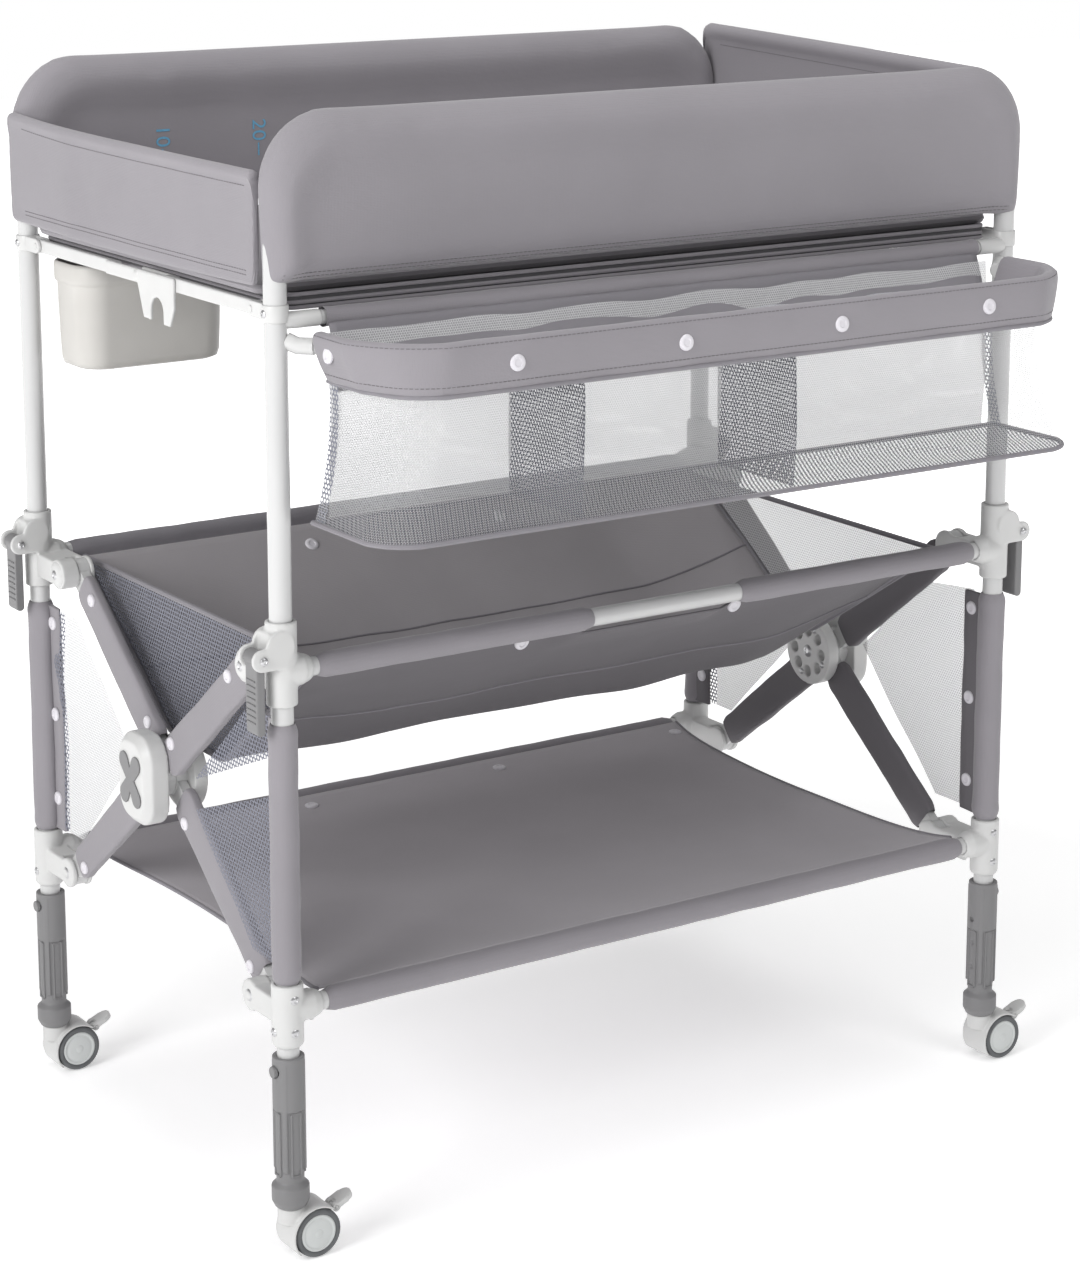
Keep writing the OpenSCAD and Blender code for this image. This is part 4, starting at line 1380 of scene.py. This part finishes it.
def fasteners():
    """Rivets and screws on the leg joints, collars and stay brackets."""
    for end in ENDS:
        frame_body = ENDS[end] + "_frame"
        joints = Shape()
        knobs = Shape()
        collars = Shape()
        pivot_y = end * PIVOT_Y
        for side in SIDES:
            outer = side * (LEG_X + 7)
            rivet(joints, (outer, pivot_y, PIVOT_LOW), (side, 0, 0), 5.5)
            rivet(joints, (outer + side * 6.2, end * LEG_Y, JOINT_SCREW_Z[0]), (side, 0, 0), 4)
            for z in JOINT_SCREW_Z:
                rivet(joints, (side * LEG_X, end * (LEG_Y + 13), z), (0, end, 0), 4)
            rivet(joints, (side * (LEG_X + 10.7), end * LEG_Y, BRACKET_SCREW_Z), (side, 0, 0), 3.4)
            rivet(collars, (outer + side * 2, pivot_y, PIVOT_HIGH), (side, 0, 0), 5)
            profile = [(0, 2.4), (8, 2.4), (10.5, 1.6), (12, 0), (12, -3), (0, -3)]
            knobs.lathe(profile, (outer, pivot_y, PIVOT_HIGH), (side, 0, 0), 28)
            for face in (-1, 1):
                spot = (side * (LEG_X + 23.5), end * LEG_Y + face * 15.2, COLLAR_SCREW_Z)
                rivet(collars, spot, (0, face, 0), 3.6)
        build(ENDS[end] + "_joint_rivets", joints, frame_body, "steel")
        build(ENDS[end] + "_collar_screws", collars, ENDS[end] + "_slider", "steel")
        build(ENDS[end] + "_collar_knobs", knobs, ENDS[end] + "_slider", "white_plastic")


fasteners()


def levers():
    """Grey release levers with a ribbed outer face."""
    for end in ENDS:
        for side in SIDES:
            name = "lever_" + ENDS[end] + "_" + SIDES[side]
            softened(name, name, "grey_plastic", 0.8, 4)
            grips = Shape()
            for z in range(472, 512, 5):
                x = side * (LEG_X + 28.1)
                centre = Vector((x, end * LEG_Y, z))
                grips.tube([centre - Vector((0, 6.8, 0)), centre + Vector((0, 6.8, 0))], 0.8, 6)
            build(name + "_grips", grips, name, "grey_plastic")


levers()

# ---- feet and casters -------------------------------------------------------------------------------


RIB_LOW = 76
RIB_HIGH = 132
RIB_SPREAD = 4.2
AXLE = Vector((18, 0, 21.5))
TREAD = (
    (15.8, 4.9), (20.2, 4.9), (21.3, 6.0), (21.5, 8.0), (21.5, 12.6), (21.2, 14.2), (20.2, 15.4),
    (18.2, 15.9), (17.0, 15.5), (16.6, 14.9), (15.8, 14.8),
)
WHEEL_DISC = (
    (0, 5.0), (15.6, 5.0), (16.4, 5.6), (16.4, 14.7), (15.7, 15.5), (14.2, 15.6), (13.6, 15.0),
    (12.8, 14.9), (11.8, 15.35), (8, 15.75), (0, 15.9),
)
AXLE_CAP = ((0, 16.0), (3.6, 16.0), (4.2, 15.6), (4.2, 14), (0, 14))


def foot_parts(side, end):
    """One adjustable foot with its window, ribs and button, and the caster below it."""
    place = ENDS[end] + "_" + SIDES[side]
    leg = Vector((side * LEG_X, end * LEG_Y, 0))
    softened("foot_" + place, "foot_" + place, "grey_plastic", 0.8, 1)
    details = Shape()
    for turn in (0, 90, 180, 270):
        heading = math.radians(turn)
        out = Vector((math.cos(heading), math.sin(heading), 0))
        across = Vector((-out.y, out.x, 0))
        for offset in (-RIB_SPREAD, RIB_SPREAD):
            low = leg + out * 11.2 + across * offset + Vector((0, 0, RIB_LOW))
            details.tube([low, low + Vector((0, 0, RIB_HIGH - RIB_LOW))], 1.3, 6)
        for z in (RIB_LOW, RIB_HIGH):
            low = leg + out * 11.6 + Vector((0, 0, z))
            details.tube([low - across * RIB_SPREAD, low + across * RIB_SPREAD], 1.3, 6)
    build("foot_ribs_" + place, details, "foot_" + place, "grey_plastic")
    for kind, finish, voxel, passes in (
        ("button_", "grey_plastic", 0.4, 2),
        ("fork_", "white_plastic", 0.75, 3),
        ("pedal_", "white_plastic", 0.6, 4),
    ):
        softened(kind + place, kind + place, finish, voxel, passes)
    axle = leg + AXLE
    tyres = Shape()
    discs = Shape()
    caps = Shape()
    for face in (-1, 1):
        tyres.lathe(TREAD, axle, (0, face, 0), 48)
        discs.lathe(WHEEL_DISC, axle, (0, face, 0), 48)
        caps.lathe(AXLE_CAP, axle, (0, face, 0), 24)
    caps.lathe([(0, -5.2), (3, -5.2), (3, 5.2), (0, 5.2)], axle, (0, 1, 0), 16)
    wheels = "wheels_" + place
    build("tyres_" + place, tyres, wheels, "tyre_rubber", (wheels,), sharp=50)
    build("wheel_discs_" + place, discs, wheels, "disc_plastic", sharp=50)
    build("wheel_caps_" + place, caps, wheels, "disc_plastic", sharp=50)


for end in ENDS:
    for side in SIDES:
        foot_parts(side, end)

# ---- basin --------------------------------------------------------------------------------------------


def basin():
    """The little tub on the rear left: a drafted body with soft corners, a flanged rim and a groove."""
    low, high = extent("basin")
    centre = middle(low, high)
    half_x = (high.x - low.x) / 2
    half_y = (high.y - low.y) / 2
    levels = [
        (-22, 0, 16), (-10, 0.3, 22), (-5.5, 2.5, 24), (-4.0, 8, 25), (-3.2, 30, 25), (-2.4, 60, 25.5),
        (-2.0, 76, 26), (-1.6, 77, 26), (-0.2, 78.5, 26), (0, 82, 26), (0, 92, 26), (-0.6, 95, 25.6),
        (-1.8, 96, 25), (-3.2, 95.4, 24), (-3.8, 92, 23), (-4.8, 60, 23), (-6.2, 12, 22), (-9, 5, 20),
        (-22, 3, 16),
    ]
    rings = []
    for grow, height, corner in levels:
        ring = []
        for x, y, z in rounded_rectangle(half_x + grow, half_y + grow, corner, low.z + height, 10):
            groove = 0.0
            if 8 < height < 76 and grow > -4.5:
                groove = 2.2 * math.exp(-((x + half_x * 0.35) / 3.5) ** 2)
            push = math.copysign(groove, -y) if abs(y) > half_y - 8 else 0.0
            ring.append((centre.x + x, centre.y + y + push, z))
        rings.append(ring)
    build("basin_tub", Shape().loft(rings), "basin", "basin_plastic", ("basin",), sharp=55)
    # The slot is not cut through: a thin black plate on the face stands for it, as painted shade inside the
    # opening.
    slot_x = high.x - 11.6
    corners = ((-5, -14), (5, -14), (5, -5), (-5, -5))
    outline = [(slot_x + x, low.y - 0.4, high.z + z) for x, z in corners]
    build("basin_slot", Shape().prism(outline, (0, 1.2, 0)), "basin", "black_band")


basin()

# ---- floor, lights and camera -----------------------------------------------------------------------------


AMBIENT = 0.36
FLOOR_HALF = 9000


def floor():
    """A white studio floor that fades into the backdrop."""
    corners = ((-1, -1), (1, -1), (1, 1), (-1, 1))
    shape = Shape().add([(x * FLOOR_HALF, y * FLOOR_HALF, -0.2) for x, y in corners], [[0, 1, 2, 3]])
    ground = Finish("studio_floor", "tube_white", (0.94, 0.94, 0.94), 0.6, Emission_Color=(1, 1, 1, 1))
    ground.vary(0.4, 0.004)
    away = ground.vector("LENGTH", ground.place())["Value"]
    glow = ground.remap(away, 0.9, 2.2, AMBIENT, 1.0)
    ground.tree.links.new(glow, ground.shader.inputs["Emission Strength"])
    mesh_object("studio_floor", shape, "studio_floor")


floor()


def lamp(name, place, target, size, power):
    data = bpy.data.lights.new(name, "AREA")
    data.shape = "DISK"
    data.size = size
    data.energy = power
    made = new_object(name, data)
    made.location = Vector(place)
    made.rotation_euler = (Vector(target) - made.location).to_track_quat("-Z", "Y").to_euler()


lamp("key", (-3.2, -0.8, 1.9), (0, 0, 0.6), 1.8, 69)
lamp("top", (0.2, 0.1, 3.4), (0, 0, 0.5), 2.6, 34)
lamp("front", (0.5, -2.6, 2.9), (0, 0, 0.5), 1.6, 24)


def studio_world():
    """Soft even light; the backdrop itself shows white."""
    world = bpy.data.worlds.new("studio")
    bpy.context.scene.world = world
    world.use_nodes = True
    tree = world.node_tree
    ambient = tree.nodes["Background"]
    ambient.inputs["Color"].default_value = (1, 1, 1, 1)
    ambient.inputs["Strength"].default_value = AMBIENT
    backdrop = tree.nodes.new("ShaderNodeBackground")
    backdrop.inputs["Color"].default_value = (1, 1, 1, 1)
    backdrop.inputs["Strength"].default_value = 1.0
    rays = tree.nodes.new("ShaderNodeLightPath")
    blend = tree.nodes.new("ShaderNodeMixShader")
    tree.links.new(rays.outputs["Is Camera Ray"], blend.inputs[0])
    tree.links.new(ambient.outputs[0], blend.inputs[1])
    tree.links.new(backdrop.outputs[0], blend.inputs[2])
    tree.links.new(blend.outputs[0], tree.nodes["World Output"].inputs["Surface"])


studio_world()
bpy.context.scene.view_settings.view_transform = "Standard"

# The camera stands at the front left, a little above the bed, and looks across and slightly down.
YAW = 0.582634
PITCH = 0.209506
camera_data = bpy.data.cameras.new("camera")
camera_data.lens = 87.80
camera_data.sensor_width = 36
camera_data.shift_x = 0.0022
camera_data.shift_y = -0.15
camera_data.clip_end = 60
camera = new_object("camera", camera_data)
camera.location = at((-1537.19, -2364.56, 1209.54))
look = Vector((math.sin(YAW) * math.cos(PITCH), math.cos(YAW) * math.cos(PITCH), -math.sin(PITCH)))
camera.rotation_euler = look.to_track_quat("-Z", "Y").to_euler()
bpy.context.scene.camera = camera
